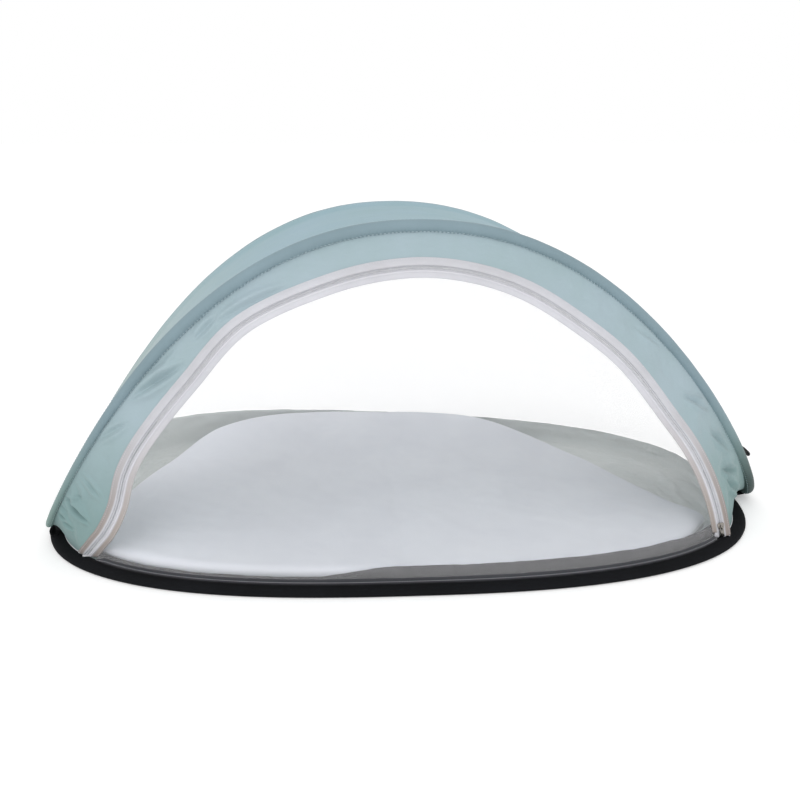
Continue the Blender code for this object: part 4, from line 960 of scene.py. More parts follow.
# %% [markdown]
# The roof sheet and its sleeve. Thin coated taffeta is stretched between the front and the rear arch,
# so it is nearly smooth. Its edge is sewn into a sleeve that the steel loop runs through, and the
# sleeve is longer than the loop it covers, so the cloth puckers all along the seam.

# %% Roof sheet and sleeve
SIDE_LOSS = 0.24
FLAT_LOSS = 0.44
ROOF_SWELL = 0.0018
ROOF_SAG = 0.0020
ROOF_EDGE_DIP = 0.0045
ROOF_RIPPLE = 0.0006
SCALLOP_PITCH = 0.0052
SCALLOP_HEIGHT = 0.0008
SEAM_ANGLE = math.radians(245)


def tip_taper(places, loss=SIDE_LOSS):
    """Share of the sleeve's full radius, which narrows towards the left tip."""
    return 1.0 - loss * smooth_share((-0.30 - places[..., 0]) / 0.20)


def make_roof():
    """Sheet whose edges are drawn over the loop, with faint tension folds."""
    places, sides, normals = roof_edge(720)
    radius = SLEEVE_RADIUS * tip_taper(places, FLAT_LOSS)[:, None]
    edge = places + sides * radius * 0.25 + normals * radius * 0.93
    front, rear = edge[1:360], edge[:360:-1]
    hem = np.linspace(0.0, 0.16, 9)
    shares = np.concatenate([hem, np.linspace(0.16, 0.84, 22)[1:-1], np.linspace(0.84, 1.0, 9)])
    rows = ruled(front, rear, shares)
    outward = unit(np.cross(rear - front, np.gradient(front + rear, axis=0)))
    outward *= np.sign(outward[180, 2])
    share = shares[:, None]
    width = np.clip(np.linalg.norm(rear - front, axis=1) / ROOF_WIDTH, 0, 1)[None]
    dip = smooth_share(share / 0.13) * smooth_share((1 - share) / 0.13) * np.minimum(width * 3, 1.0)
    slack = np.sin(share * math.pi)
    lift = slack * width * (ROOF_SWELL * rumple(rows, 0.12, 9) - ROOF_SAG) - ROOF_EDGE_DIP * dip
    lift += ROOF_RIPPLE * rumple(rows * (1.0, 3.0, 1.0), 0.05, 10) * slack
    return cloth("roof", rows + outward[None] * lift[..., None], roof_taffeta, thickness=0.0007)


def sleeve_point(angle, places, sides, normals, proud=0.0):
    """Points of the sleeve's surface at an angle round the loop, from the sheet's side outwards."""
    wide, flat = (SLEEVE_RADIUS * tip_taper(places, loss) + proud for loss in (SIDE_LOSS, FLAT_LOSS))
    return places + sides * (wide * np.cos(angle))[:, None] + normals * (flat * np.sin(angle))[:, None]


def make_sleeve():
    """Casing round the loop, gathered in small scallops along the two seams."""
    places, sides, normals = roof_edge(2400)
    swell, pucker = rumple(places, 0.045, 12), rumple(places, 0.0085, 11)
    turns = lengths_along(places) / SCALLOP_PITCH
    scallop = np.sin(turns * 2 * math.pi + 1.5 * rumple(places, 0.03, 23))
    rows = []
    for angle in np.linspace(0.0, 2 * math.pi, 25):
        below = math.exp(-((angle - SEAM_ANGLE) / 0.55) ** 2)
        inside = math.exp(-(min(angle, 2 * math.pi - angle) / 0.9) ** 2)
        proud = SLEEVE_RADIUS * (0.035 * swell - 0.12 * inside)
        proud = proud + SCALLOP_HEIGHT * below * (scallop + 0.7 * pucker)
        proud = proud + SCALLOP_HEIGHT / 2 * inside * pucker
        rows.append(sleeve_point(angle, places, sides, normals, proud))
    return cloth("sleeve", rows, sleeve_taffeta, wrap=True)


roof = make_roof()
sleeve = make_sleeve()
print("roof and sleeve faces:", len(roof.data.polygons) + len(sleeve.data.polygons))

# %% [markdown]
# The front band hangs from the sleeve down to the zip, and its two ends are the gussets sewn to the
# base. It is cut from flat cloth and bent round an arch, so it can't lie smooth: it creases at the
# feet, where the arch turns most. Each fold is one line on the cloth with a depth and a width.

# %% Front band
TAPE_FOOT = SEAM_LEVEL + 0.0008
BAND_SHARES = (0.0, 0.062, 0.880, 1.0)
BAND_COLUMNS = (90, 620, 120)
BAND_ROWS = 44
BAND_SWELL = 0.0045
BAND_WAVE = 0.0016
BAND_RIPPLE = 0.0005
BAND_SMOOTHING = 60
UNDER_SLEEVE = 0.0012
BAND_LEFT_END = (-BASE_HALF_LENGTH, -0.100)
BAND_RIGHT_END = (BASE_HALF_LENGTH, -0.020)
FOLDS = (
    ((-0.458, -0.179, 0.136), (-0.414, -0.206, 0.104), 0.0036, 0.0030),
    ((-0.488, -0.163, 0.100), (-0.440, -0.198, 0.066), 0.0044, 0.0082),
    ((-0.502, -0.152, 0.088), (-0.480, -0.168, 0.070), 0.0034, 0.0046),
    ((-0.506, -0.150, 0.072), (-0.482, -0.166, 0.056), 0.0034, 0.0046),
    ((-0.500, -0.155, 0.056), (-0.470, -0.172, 0.046), 0.0036, 0.0036),
    ((-0.484, -0.166, 0.091), (-0.450, -0.187, 0.103), 0.0034, 0.0022),
    ((-0.470, -0.174, 0.128), (-0.452, -0.184, 0.086), 0.0050, 0.0020),
    ((-0.252, -0.1990, 0.350), (-0.154, -0.1991, 0.398), 0.0052, 0.0048),
    ((-0.280, -0.1991, 0.328), (-0.248, -0.1976, 0.360), 0.0042, 0.0026),
    ((-0.376, -0.1950, 0.245), (-0.290, -0.2041, 0.299), 0.0054, 0.0054),
    ((-0.349, -0.1970, 0.278), (-0.301, -0.1980, 0.324), 0.0044, 0.0030),
    ((-0.428, -0.1850, 0.184), (-0.372, -0.2010, 0.217), 0.0046, 0.0040),
    ((0.312, -0.1520, 0.329), (0.366, -0.1390, 0.293), 0.0044, 0.0026),
    ((0.392, -0.157, 0.226), (0.453, -0.120, 0.189), 0.0046, 0.0046),
    ((0.418, -0.143, 0.214), (0.460, -0.118, 0.203), 0.0038, 0.0028),
    ((0.440, -0.145, 0.166), (0.500, -0.102, 0.117), 0.0048, 0.0060),
    ((0.455, -0.136, 0.170), (0.486, -0.112, 0.156), 0.0036, 0.0030),
    ((0.462, -0.150, 0.108), (0.519, -0.092, 0.079), 0.0046, 0.0056),
    ((0.470, -0.146, 0.092), (0.528, -0.087, 0.037), 0.0048, 0.0056),
    ((0.482, -0.138, 0.122), (0.515, -0.098, 0.103), 0.0038, 0.0034),
)


def clear_of_sleeve(arch, lower, reach):
    """Points of an arch moved square to it towards a lower line."""
    heading = unit(np.gradient(arch, axis=0))
    across = lower - arch
    across = unit(across - heading * np.sum(across * heading, axis=1, keepdims=True))
    return arch + across * reach


def band_rows():
    """Smooth band, from the sleeve to the zip and to the seam on the base."""
    left, middle, right = BAND_COLUMNS
    zip_line = zip_side_line(OUTER_TAPE_EDGE - 0.0006, TAPE_FOOT, TAPE_FOOT, middle)
    level = SEAM_LEVEL + 0.0010
    left_run = base_run(SEAM_INSET, BAND_LEFT_END, zip_line[0], left, level)
    right_run = base_run(SEAM_INSET, zip_line[-1], BAND_RIGHT_END, right, level)
    lower = np.vstack([left_run[:-1], zip_line, right_run[1:]])
    spans = zip(BAND_SHARES, BAND_SHARES[1:])
    parts = [np.linspace(*span, count) for span, count in zip(spans, BAND_COLUMNS)]
    shares = np.concatenate([parts[0][:-1], parts[1], parts[2][1:]])
    upper = arch_edge(True, 2001)[np.round(shares * 2000).astype(int)]
    upper = clear_of_sleeve(upper, lower, (SLEEVE_RADIUS * tip_taper(upper) - UNDER_SLEEVE)[:, None])
    rows = ruled(upper, lower, np.linspace(0.0, 1.0, BAND_ROWS))
    for _ in range(BAND_SMOOTHING):
        rows[1:-1, 1:-1] = (rows[1:-1, :-2] + 2 * rows[1:-1, 1:-1] + rows[1:-1, 2:]) / 4
    return rows


def fold_height(rows, start, end, width, depth):
    """Height of one fold: a valley with a ridge on each side, along the line from start to end."""
    start, end = np.array(start), np.array(end)
    run = end - start
    share = np.clip(((rows - start) @ run) / (run @ run), 0.0, 1.0)
    taper = np.sin(np.clip(share, 0.01, 0.99) * math.pi)
    away = np.linalg.norm(rows - (start + share[..., None] * run), axis=-1) / (width * (0.5 + 0.6 * taper))
    return depth * taper * (1.2 * np.exp(-(away - 1.5) ** 2) - np.exp(-away ** 2))


def make_band():
    """Band with its folds and its tension waves."""
    rows = band_rows()
    outward = grid_normals(rows)
    outward *= -np.sign(outward[..., 1].mean())
    share = np.linspace(0.0, 1.0, BAND_ROWS)[:, None]
    held = np.sin(share * math.pi) ** 0.7
    reach = np.linalg.norm(rows[-1] - rows[0], axis=1)[None]
    slack = np.clip((reach - 0.045) / 0.06, 0.05, 1.0)
    lift = held * slack * (BAND_SWELL * rumple(rows, 0.075, 13) + BAND_WAVE * rumple(rows, 0.024, 14))
    lift += held * BAND_RIPPLE * rumple(rows * (1.0, 1.0, 2.0), 0.018, 15)
    for fold in FOLDS:
        lift += held * fold_height(rows, *fold)
    return cloth("front_band_cloth", rows + outward * lift[..., None], band_taffeta, thickness=0.0006)


band = make_band()
print("band faces:", len(band.data.polygons))

# %% [markdown]
# The zip. Each half is a woven tape whose edge is folded over a cord, which makes the bright ridge
# beside the teeth, and a coil of nylon wire sewn along the fold. The two tapes are swept along the
# zip's path from a section: the way out from the middle and the height to the front. They start behind
# the coils, so that nothing dark shows between these. The coil repeats one bent piece of wire, so
# Geometry Nodes place it every 1.5 mm.

# %% Zip tapes
TAPE_SECTION = ((0.0002, -0.0014), (0.0014, -0.0014), (0.0024, -0.0012), (0.0031, 0.0002), (0.0038, 0.0009),
                (0.0046, 0.0011), (0.0054, 0.0008), (0.0064, 0.0003), (0.0085, 0.0002), (0.0110, 0.0002))
OUTER_SECTION = (*TAPE_SECTION, (0.0130, 0.0003), (0.0137, 0.0004))
INNER_SECTION = (*TAPE_SECTION, (0.0125, 0.0002), (0.0132, 0.0002))
TAPE_WAVE = 0.0004
TAPE_COLUMNS = 700
SLIDER_TOP = 0.0327
TAPE_END_TOP = 0.0160


def make_tape(name, section, side, material, left, right, seed):
    """One half of the zip's tape, on the outer side (1) or on the inner side (-1)."""
    rows = []
    for offset, lift in section:
        line = zip_side_line(side * offset, left, right, TAPE_COLUMNS, lift)
        wave = rumple(line, 0.018, seed) * TAPE_WAVE * smooth_share((offset - 0.005) / 0.006)
        rows.append(line + ZIP_FRONT * wave[:, None])
    return cloth(name, rows, material, thickness=0.0006)


outer_tape = make_tape("zip_tape_outer", OUTER_SECTION, 1, outer_tape_cloth, TAPE_FOOT, TAPE_FOOT, 16)
inner_tape = make_tape("zip_tape_inner", INNER_SECTION, -1, inner_tape_cloth, TAPE_FOOT, TAPE_END_TOP, 17)
print("tape faces:", len(outer_tape.data.polygons) + len(inner_tape.data.polygons))

# %% Geometry Nodes: the zip's coils
def coil_tree():
    """Tree that sets one bent wire of the coil at each step along a line."""
    tree = bpy.data.node_groups.new("coil of a zip", "GeometryNodeTree")
    source = group_inputs(tree, {"Pitch": 0.0015, "Reach": 0.0019, "Height": 0.0007, "Wire": 0.00034})
    spaced, turn = pitch_points(tree, source)
    front = add_node(tree, "FunctionNodeInputVector", vector=tuple(ZIP_FRONT))
    facing = add_node(tree, "FunctionNodeAlignRotationToVector", {"Rotation": turn, "Vector": front},
                      axis="Y", pivot_axis="Z")
    bend = add_node(tree, "GeometryNodeCurveArc", {"Resolution": 6, "Radius": 1.0, "Start Angle": math.pi / 2,
                                                   "Sweep Angle": math.pi}, mode="RADIUS")
    size = add_node(tree, "ShaderNodeCombineXYZ", {"X": source["Reach"], "Y": source["Height"], "Z": 1.0})
    loop = add_node(tree, "GeometryNodeTransform", {"Geometry": bend, "Scale": size})
    section = add_node(tree, "GeometryNodeCurvePrimitiveCircle", {"Resolution": 5, "Radius": source["Wire"]})
    wire = add_node(tree, "GeometryNodeCurveToMesh",
                    {"Curve": loop, "Profile Curve": section, "Fill Caps": True})
    teeth = add_node(tree, "GeometryNodeInstanceOnPoints",
                     {"Points": spaced, "Instance": wire, "Rotation": facing})
    finish_tree(tree, teeth, source)
    return tree


COIL = coil_tree()
COIL_ROOT = 0.0025
COIL_LIFT = 0.0001
COIL_COLUMNS = 900
ABOVE_STOP = 0.0118
HALF_PITCH = 0.0007
outer_line = zip_side_line(COIL_ROOT, ABOVE_STOP, TAPE_FOOT, COIL_COLUMNS, COIL_LIFT)
inner_line = zip_side_line(-COIL_ROOT, ABOVE_STOP + HALF_PITCH, SLIDER_TOP, COIL_COLUMNS, COIL_LIFT)[::-1]
outer_coil = along_line("zip_coil_outer", COIL, outer_line, nylon)
inner_coil = along_line("zip_coil_inner", COIL, inner_line, nylon)
print("coil faces:", len(outer_coil.data.polygons) + len(inner_coil.data.polygons))

# %% [markdown]
# The door and the rear wall are one layer of net each. The door is sewn to the inner zip tape and, by
# a narrow hem, to the binding. The rear wall runs from a hem under the rear arch to the top of the side
# wall, and bellies out a little above it. Net is light and held all round, so it hangs in very shallow
# waves.

# %% Mesh door, rear wall and their hems
HEM_LEVEL = SEAM_LEVEL + 0.0006
NET_ROWS = 60
DOOR_COLUMNS = 260
REAR_COLUMNS = 320
HELD = np.sin(np.linspace(0.0, 1.0, NET_ROWS) * math.pi)[:, None]
DOOR_WAVE = 0.0022
DOOR_HEM_WIDTH = 0.008
REAR_WAVE = 0.0025
REAR_BELLY = 0.014
REAR_BELLY_TOP = 0.14
REAR_HEM_WIDTH = 0.017
REAR_OVERLAP = 0.002
ABOVE_WALL = 0.0030


def make_door():
    """Door net, its hem on the base and the hem's seam."""
    upper = zip_side_line(-INNER_TAPE_EDGE - 0.0002, TAPE_FOOT, TAPE_END_TOP, DOOR_COLUMNS)
    lower = base_run(SEAM_INSET, upper[0] + (0.008, 0.0, 0.0), upper[-1] - (0.004, 0.0, 0.0), DOOR_COLUMNS,
                     HEM_LEVEL)
    rows = ruled(lower, upper, np.linspace(0.0, 1.0, NET_ROWS))
    rows = rows + ZIP_FRONT * (HELD * DOOR_WAVE * rumple(rows, 0.14, 18))[..., None]
    net = cloth("door_net", rows, white_net)
    reach = np.linalg.norm(upper - lower, axis=1)[:, None]
    top = lower + (upper - lower) * np.minimum(DOOR_HEM_WIDTH / reach, 0.4)
    edge = cloth("door_net_hem", ruled(lower, top, (0.0, 0.25, 0.5, 0.75, 1.0)), hem_cloth, thickness=0.0009)
    return net, edge, ruled(lower, top, (0.42,))[0] + (0.0, -0.0008, 0.0)


def make_rear():
    """Rear net and the hem under the rear arch."""
    run = base_run(WALL_INSET + WALL_LEAN, BAND_RIGHT_END, BAND_LEFT_END, 900, 0.0)
    run[:, 2] = side_wall_height(run[:, 0], run[:, 1]) + ABOVE_WALL
    lower = resample(run[::-1], REAR_COLUMNS)
    upper = clear_of_sleeve(arch_edge(False, REAR_COLUMNS), lower, SLEEVE_RADIUS - UNDER_SLEEVE)
    down = unit(lower - upper)
    hem_low = upper + down * REAR_HEM_WIDTH
    edge = cloth("rear_net_hem", ruled(upper, hem_low, np.linspace(0.0, 1.0, 5)), band_taffeta,
                 thickness=0.0008)
    rows = ruled(hem_low - down * REAR_OVERLAP, lower, np.linspace(0.0, 1.0, NET_ROWS))
    above = np.clip((rows[..., 2] - lower[None, :, 2]) / REAR_BELLY_TOP, 0.0, 1.0)
    bulge = HELD * REAR_WAVE * rumple(rows, 0.15, 19)
    bulge = bulge + REAR_BELLY * np.sin(above * math.pi) * np.clip(lower[:, 1] / 0.15, 0.0, 1.0)
    return cloth("rear_net", rows + np.array((0, 1, 0)) * bulge[..., None], white_net), edge


door, door_hem, hem_seam = make_door()
rear, rear_hem = make_rear()
print("net faces:", len(door.data.polygons) + len(rear.data.polygons))

# %% [markdown]
# Slider and pull. A slider is two plates joined by a wedge, with a bridge on the front that the pull's
# window goes round. Both are cast, so every edge is rounded: plain outlines are made solid and a
# bevel softens them. Each outline is drawn once, from the top down its right side, and mirrored.

# %% Slider and pull
SLIDER_ANGLE = math.radians(15.4)


def facing_frame(place, upward):
    """Frame at a place: x across the zip, y upwards, z to the front."""
    upward, front = Vector(upward), Vector(ZIP_FRONT)
    placed = Matrix((upward.cross(front), upward, front)).transposed().to_4x4()
    placed.translation = Vector(place)
    return placed


def closed_faces(shell, rings):
    """Adds a band of faces between each ring of corners and the next."""
    for lower, upper in zip(rings, rings[1:]):
        for index in range(len(lower)):
            beside = (index + 1) % len(lower)
            shell.faces.new((lower[index], lower[beside], upper[beside], upper[index]))


def add_plate(shell, outline, low, high, hole=None):
    """Adds a flat plate between two heights, with an outline in its own plane and an open window."""
    rings = [[shell.verts.new((x, y, level)) for x, y in ring]
             for ring in ([outline] + ([hole] if hole else [])) for level in (low, high)]
    if hole:
        closed_faces(shell, [rings[0], rings[1], rings[3], rings[2], rings[0]])
    else:
        closed_faces(shell, rings)
        shell.faces.new(rings[0])
        shell.faces.new(rings[1])


def add_bridge(shell, path, half_width, thickness):
    """Adds a strap bent along a path in the y-z plane."""
    path = np.array(path, dtype=float)
    across = unit(np.stack([-np.gradient(path[:, 1]), np.gradient(path[:, 0])], axis=1)) * thickness / 2
    stations = [[shell.verts.new((side * half_width, y + end * dy, z + end * dz))
                 for side, end in ((-1, 1), (1, 1), (1, -1), (-1, -1))]
                for (y, z), (dy, dz) in zip(path, across)]
    closed_faces(shell, stations)
    shell.faces.new(stations[0])
    shell.faces.new(stations[-1][::-1])


def cast_piece(name, plates, placed, material, bevel, bridges=()):
    """Cast or moulded piece from plates and bridges, with its edges rounded."""
    shell = bmesh.new()
    for plate in plates:
        add_plate(shell, *plate)
    for bridge in bridges:
        add_bridge(shell, *bridge)
    bmesh.ops.recalc_face_normals(shell, faces=shell.faces)
    shell.transform(placed)
    mesh = bpy.data.meshes.new(name)
    shell.to_mesh(mesh)
    shell.free()
    mesh.materials.append(material)
    mesh.shade_smooth()
    piece = put_in_scene(name, mesh)
    rounding = piece.modifiers.new("rounding", "BEVEL")
    rounding.width = bevel
    rounding.segments = 3
    rounding.limit_method = "ANGLE"
    rounding.harden_normals = False
    return settle(piece)


def mirrored(right):
    """Closed outline from the points of its right half."""
    return [*right, *((-x, y) for x, y in right[::-1])]


slider_up = unit(zip_arc_point(SLIDER_ANGLE + 0.001) - zip_arc_point(SLIDER_ANGLE - 0.001))
slider_frame = facing_frame(zip_arc_point(SLIDER_ANGLE), slider_up)
SLIDER_PLATE = mirrored([(0.0036, 0.0055), (0.0050, 0.004125), (0.0050, 0.00055), (0.0039, -0.004125),
                         (0.00234, -0.0055)])
WEDGE = mirrored([(0.0002, 0.0040), (0.0002, -0.0040)])
BRIDGE_PATH = [(-0.0036, 0.0020), (-0.0037, 0.0030), (-0.0030, 0.0039), (-0.0015, 0.0043)]
BRIDGE_PATH += [(-y, z) for y, z in BRIDGE_PATH[::-1]]
PULL_OUTLINE = mirrored([(0.0010, 0.0004), (0.0021, 0.0003), (0.0030, -0.0050), (0.0031, -0.0140),
                         (0.0026, -0.0170), (0.0012, -0.0180)])
PULL_WINDOW = mirrored([(0.0006, -0.0003), (0.0012, -0.0004), (0.0013, -0.0040), (0.0011, -0.0062),
                        (0.0008, -0.0067), (0.0004, -0.0069)])
slider = cast_piece("slider", [(SLIDER_PLATE, 0.0013, 0.0024), (SLIDER_PLATE, -0.0023, -0.0013),
                               (WEDGE, -0.0018, 0.0018)],
                    slider_frame, nickel, 0.0003, [(BRIDGE_PATH, 0.0008, 0.0009)])
pull = cast_piece("pull", [(PULL_OUTLINE, 0.00265, 0.00345, PULL_WINDOW)], slider_frame, nickel, 0.0002)
print("slider and pull faces:", len(slider.data.polygons) + len(pull.data.polygons))

# %% [markdown]
# Small parts: the moulded stop at the zip's left foot, the folded end of the tape beside the slider, the
# short black straps that hold the roof's two tips to the binding, and the loop of black webbing near
# the right tip. Straps and loop are flat tape bent along a short curve.

# %% Stop, tape end, straps and webbing loop
LEFT_STRAP = ((-0.5225, 0.0262), (-0.5272, 0.0240), (-0.5302, 0.0185), (-0.5304, 0.0125), (-0.5287, 0.0094),
              (-0.5210, 0.0086))
RIGHT_STRAP = ((0.5400, 0.0087), (0.5470, 0.0085), (0.5515, 0.0070), (0.5570, 0.0052), (0.5640, 0.0050),
               (0.5700, 0.0062), (0.5725, 0.0060))
TAB_PATH = ((0.000, 0.002), (0.002, 0.014), (0.0065, 0.0235), (0.013, 0.0282), (0.021, 0.0310),
            (0.0275, 0.0326), (0.0305, 0.0316), (0.0300, 0.0290), (0.024, 0.0280), (0.017, 0.0262),
            (0.0105, 0.0215), (0.0070, 0.012), (0.0050, 0.002))
TAB_SHARE = 0.895


def make_block(name, place, height, sizes, material, bevel):
    """Small rounded block, its width, length and depth given, that faces the way the zip does."""
    width, length, depth = sizes
    outline = mirrored([(width / 2, length / 2), (width / 2, -length / 2)])
    placed = facing_frame((place[0], place[1], SEAM_LEVEL + height), (0, 0, 1))
    return cast_piece(name, [(outline, -depth / 2, depth / 2)], placed, material, bevel)


def make_strap(name, path, depth):
    """Short tape, 2 cm wide, that holds a tip of the roof to the binding."""
    across = depth + np.linspace(-0.010, 0.010, 7)
    rows = [np.column_stack([np.full(7, x), across, np.full(7, z)]) for x, z in spline(path, 5)]
    return cloth(name, rows, binding_tape, thickness=0.0018)


def make_tab():
    """Loop of webbing that stands off the roof and hangs down beside the sleeve."""
    path = spline(TAB_PATH, 4)
    across, reach = np.meshgrid(np.linspace(-0.005, 0.005, 7), roof_half_length * TAB_SHARE + path[:, 0])
    places, ahead, behind = (roof_point(reach + step, across) for step in (0.0, 0.001, -0.001))
    outward = unit(np.cross(unit(np.gradient(places, axis=1)), unit(ahead - behind)))
    outward *= np.sign(outward[..., 0:1])
    return cloth("webbing_loop", places + outward * path[:, 1:, None], webbing_black, thickness=0.0024)


stop = make_block("stop", ZIP_LINE[0], 0.0015, (0.0100, 0.0030, 0.0030), nylon, 0.0006)
tape_end = make_block("tape_end", zip_arc_point(ZIP_FOOT_TILT) - (0.00815, 0, 0), 0.0040,
                      (0.0075, 0.0080, 0.0026), inner_tape_cloth, 0.0008)
left_strap = make_strap("left_tip_strap", LEFT_STRAP, -0.1094)
right_strap = make_strap("right_tip_strap", RIGHT_STRAP, -0.0126)
tab = make_tab()
print("small parts:", [piece.name for piece in (stop, tape_end, left_strap, right_strap, tab)])

# %% [markdown]
# Seams. The sleeve, the roof's hem, the zip tapes and the door's hem are sewn, and the stitches are
# what tells cloth from plastic when the camera comes close. The band's two ends are sewn to the
# binding with a thin piping.

# %% Stitches along the seams
edge_frames = roof_edge(1100)
sleeve_seam = sleeve_point(math.radians(226), *edge_frames, 0.0007)
roof_seam = sleeve_point(math.radians(47), *edge_frames, 0.0024)
outer_seam = zip_side_line(0.0118, 0.010, 0.010, TAPE_COLUMNS, 0.0008)
inner_seam = zip_side_line(-0.0115, 0.010, 0.018, TAPE_COLUMNS, 0.0008)
SEAMS = (
    ("sleeve_stitches", sleeve_seam, green_thread, True, 0.0052, 0.0034),
    ("roof_hem_stitches", roof_seam, green_thread, True, 0.0052, 0.0034),
    ("outer_tape_stitches", outer_seam, white_thread, False, 0.0036, 0.0024),
    ("inner_tape_stitches", inner_seam, white_thread, False, 0.0036, 0.0024),
    ("door_hem_stitches", hem_seam, white_thread, False, 0.0034, 0.0022),
)
sewn = {name: along_line(name, STITCHES, line, thread, closed=closed, Pitch=pitch, Stitch=stitch,
                         Thread=0.0006)
        for name, line, thread, closed, pitch, stitch in SEAMS}
gusset_seam = band_rows()[-1] + (0.0, -0.0006, -0.0006)
piping = [along_line(name, PIPING, gusset_seam[run], nylon, Radius=0.0007)
          for name, run in (("left_gusset_piping", slice(0, BAND_COLUMNS[0])),
                            ("right_gusset_piping", slice(-BAND_COLUMNS[2], None)))]
print("stitch faces:", sum(len(piece.data.polygons) for piece in sewn.values()))

# %% [markdown]
# Each piece says which CAD parts it stands for, which body it moves with, and which of the record's
# finishes it takes. The door's pieces keep their place with their transform made plain; every other
# piece is attached to the empty of its body. The CAD parts that a piece stands for are hidden, and the
# steel loops and ferrules take the steel finish.

# %% Bodies and replaced parts
PIECES = (
    (binding, "bed", "binding_tape", "base_binding"),
    (binding_stitches, "bed", "binding_tape"),
    (floor, "bed", "floor_cloth", "floor_sheet"),
    (side_wall, "bed", "wall_cloth", "floor_wall"),
    (pad, "pad", "pad_cloth", "pad_top_cover", "pad_filling"),
    (under, "pad", "pad_cloth", "pad_under_cover"),
    (roof, "bed", "roof_cloth", "roof_sheet"),
    (sleeve, "bed", "roof_cloth", "roof_sleeve"),
    (sewn["sleeve_stitches"], "bed", "roof_cloth"),
    (sewn["roof_hem_stitches"], "bed", "roof_cloth"),
    (piping[0], "bed", "zip_coil"),
    (piping[1], "bed", "zip_coil"),
    (band, "bed", "band_cloth", "front_band"),
    (outer_tape, "bed", "zip_tape", "outer_zip_tape"),
    (outer_coil, "bed", "zip_coil", "outer_zip_coil"),
    (sewn["outer_tape_stitches"], "bed", "zip_tape"),
    (rear, "bed", "mesh_cloth", "rear_mesh"),
    (rear_hem, "bed", "band_cloth", "rear_hem"),
    (slider, "slider", "nickel", "zip_slider"),
    (pull, "pull", "nickel", "zip_pull"),
    (stop, "bed", "zip_coil", "zip_stop"),
    (tape_end, "bed", "zip_tape", "zip_tape_end"),
    (left_strap, "bed", "binding_tape", "left_foot_patch"),
    (right_strap, "bed", "binding_tape", "right_foot_patch"),
    (tab, "bed", "webbing", "webbing_tab"),
    (door, "door", "mesh_cloth", "door_mesh", "door_corner_mesh"),
    (door_hem, "door", "webbing", "door_hem", "door_corner_hem"),
    (inner_tape, "door", "zip_tape", "inner_zip_tape", "corner_zip_tape"),
    (inner_coil, "door", "zip_coil", "inner_zip_coil", "corner_zip_coil"),
    (sewn["inner_tape_stitches"], "door", "zip_tape"),
    (sewn["door_hem_stitches"], "door", "webbing"),
)
for piece, body, finish_slot, *nodes in PIECES:
    if body == "door":
        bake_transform(piece)
    else:
        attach(piece, body)
    if nodes:
        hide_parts(*nodes)
for label in ("base_wire", "base_ferrule", "roof_wire", "roof_ferrule"):
    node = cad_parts[label]
    node.data.materials.clear()
    node.data.materials.append(steel)

# %% [markdown]
# Stage. The photograph is a cut-out on pure white, so the floor and the world show white to the
# camera, while the light itself stays level: a white surround, a broad soft sun from above and two
# large soft lamps in front.

# %% Floor, light and camera
WHITE = (1.0, 1.0, 1.0, 1.0)
FLOOR_GLOW = 0.22
WORLD_LIGHT = 0.80
STAGE_HALF = 30
STAGE_LEVEL = -0.0002
LAMP_SIZE = 1.4
LAMP_DEPTH = -2.1
LAMP_HEIGHT = 0.9
CAMERA_AIM = Vector((0.0, 0.0, 0.2))
CAMERA_DISTANCE = 1.3
CAMERA_YAW = math.radians(-3.0)
CAMERA_PITCH = math.radians(17.5)


def seen_share(tree):
    """One where the camera or a reflection or refraction looks, nought for light itself."""
    rays = add_node(tree, "ShaderNodeLightPath").outputs
    seen = rays["Is Camera Ray"]
    for kind in ("Is Glossy Ray", "Is Transmission Ray"):
        seen = add_node(tree, "ShaderNodeMath", {0: seen, 1: rays[kind]}, operation="MAXIMUM")
    return seen


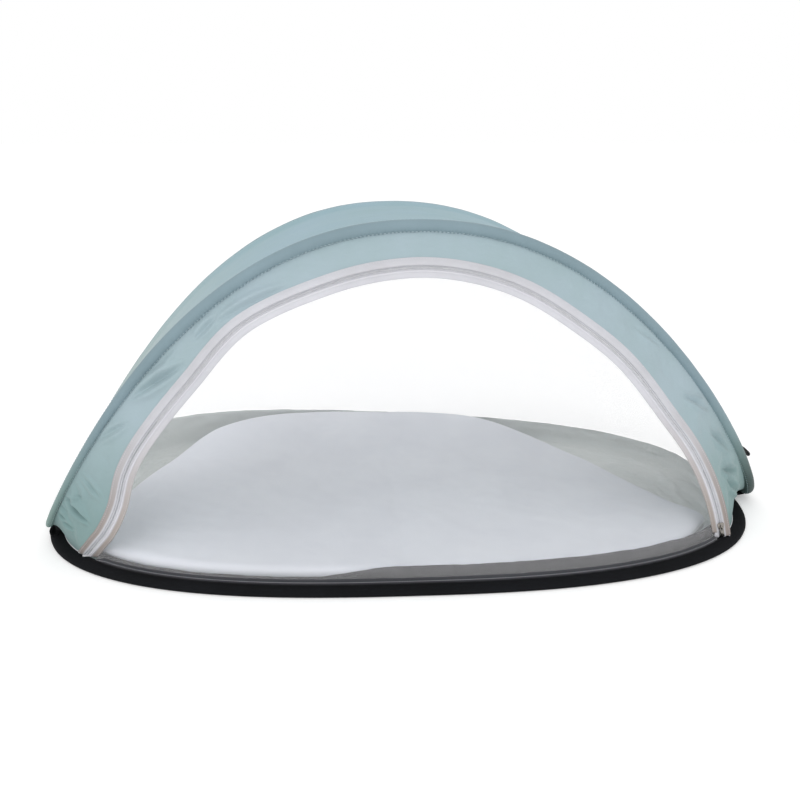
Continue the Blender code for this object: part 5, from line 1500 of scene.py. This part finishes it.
def make_stage():
    """Pale floor that keeps the bed's shadow and shows white to the camera where nothing shades it."""
    material, tree = start_material("matt white studio floor")
    place = add_node(tree, "ShaderNodeTexCoord").outputs["Object"]
    grain = add_node(tree, "ShaderNodeTexNoise", {"Vector": place, "Scale": 60.0})
    colour = add_node(tree, "ShaderNodeMix", {0: grain, 6: paint("#F0F0F0"), 7: paint("#F4F4F4")},
                      data_type="RGBA")
    matt = add_node(tree, "ShaderNodeBsdfDiffuse", {"Color": colour})
    glow = add_node(tree, "ShaderNodeMath", {0: seen_share(tree), 1: FLOOR_GLOW}, operation="MULTIPLY")
    lift = add_node(tree, "ShaderNodeEmission", {"Color": WHITE, "Strength": glow})
    both = add_node(tree, "ShaderNodeAddShader", {0: matt, 1: lift})
    add_node(tree, "ShaderNodeOutputMaterial", {"Surface": both})
    mesh = bpy.data.meshes.new("studio_floor")
    corners = [(x * STAGE_HALF, y * STAGE_HALF, STAGE_LEVEL) for x, y in ((-1, -1), (1, -1), (1, 1), (-1, 1))]
    mesh.from_pydata(corners, [], [(0, 1, 2, 3)])
    mesh.materials.append(material)
    put_in_scene("studio_floor", mesh)


def make_light(name, kind, place, aim, power, **shape):
    """Soft light at a place, turned to a point."""
    light = bpy.data.lights.new(name, kind)
    light.energy = power
    for setting, value in shape.items():
        setattr(light, setting, value)
    holder = put_in_scene(name, light)
    holder.location = place
    holder.rotation_euler = (Vector(aim) - Vector(place)).to_track_quat("-Z", "Y").to_euler()


def make_world():
    """White surround that also shows white to the camera and in glossy metal."""
    world = bpy.data.worlds.new("white surround")
    bpy.context.scene.world = world
    world.use_nodes = True
    tree = world.node_tree
    tree.nodes.clear()
    lit = add_node(tree, "ShaderNodeBackground", {"Color": WHITE, "Strength": WORLD_LIGHT})
    shown = add_node(tree, "ShaderNodeBackground", {"Color": WHITE, "Strength": 1.0})
    mixed = add_node(tree, "ShaderNodeMixShader", {0: seen_share(tree), 1: lit, 2: shown})
    add_node(tree, "ShaderNodeOutputWorld", {"Surface": mixed})


def make_camera():
    """Camera at the photograph's place, a little above the floor and in front of the bed's middle."""
    lens = bpy.data.cameras.new("camera")
    lens.lens = 36.71
    lens.sensor_width = 36.0
    lens.shift_x = -0.0020
    lens.shift_y = -0.0193
    level = math.cos(CAMERA_PITCH)
    back = Vector((math.sin(CAMERA_YAW) * level, -math.cos(CAMERA_YAW) * level, math.sin(CAMERA_PITCH)))
    camera = put_in_scene("camera", lens)
    camera.location = CAMERA_AIM + back * CAMERA_DISTANCE
    camera.rotation_euler = (-back).to_track_quat("-Z", "Y").to_euler()
    bpy.context.scene.camera = camera


make_stage()
make_world()
make_light("skylight", "SUN", (-0.25, -0.55, 1.0), (0, 0, 0), 0.55, angle=math.radians(50.0))
for name, side, aim, power in (("left key", -1.0, 0.1, 6.0), ("right key", 1.0, -0.15, 7.0)):
    make_light(name, "AREA", (side, LAMP_DEPTH, LAMP_HEIGHT), (aim, 0.0, 0.05), power, shape="DISK",
               size=LAMP_SIZE)
make_camera()
bpy.context.scene.view_settings.view_transform = "Standard"
print("camera at", [round(c, 3) for c in bpy.context.scene.camera.location])
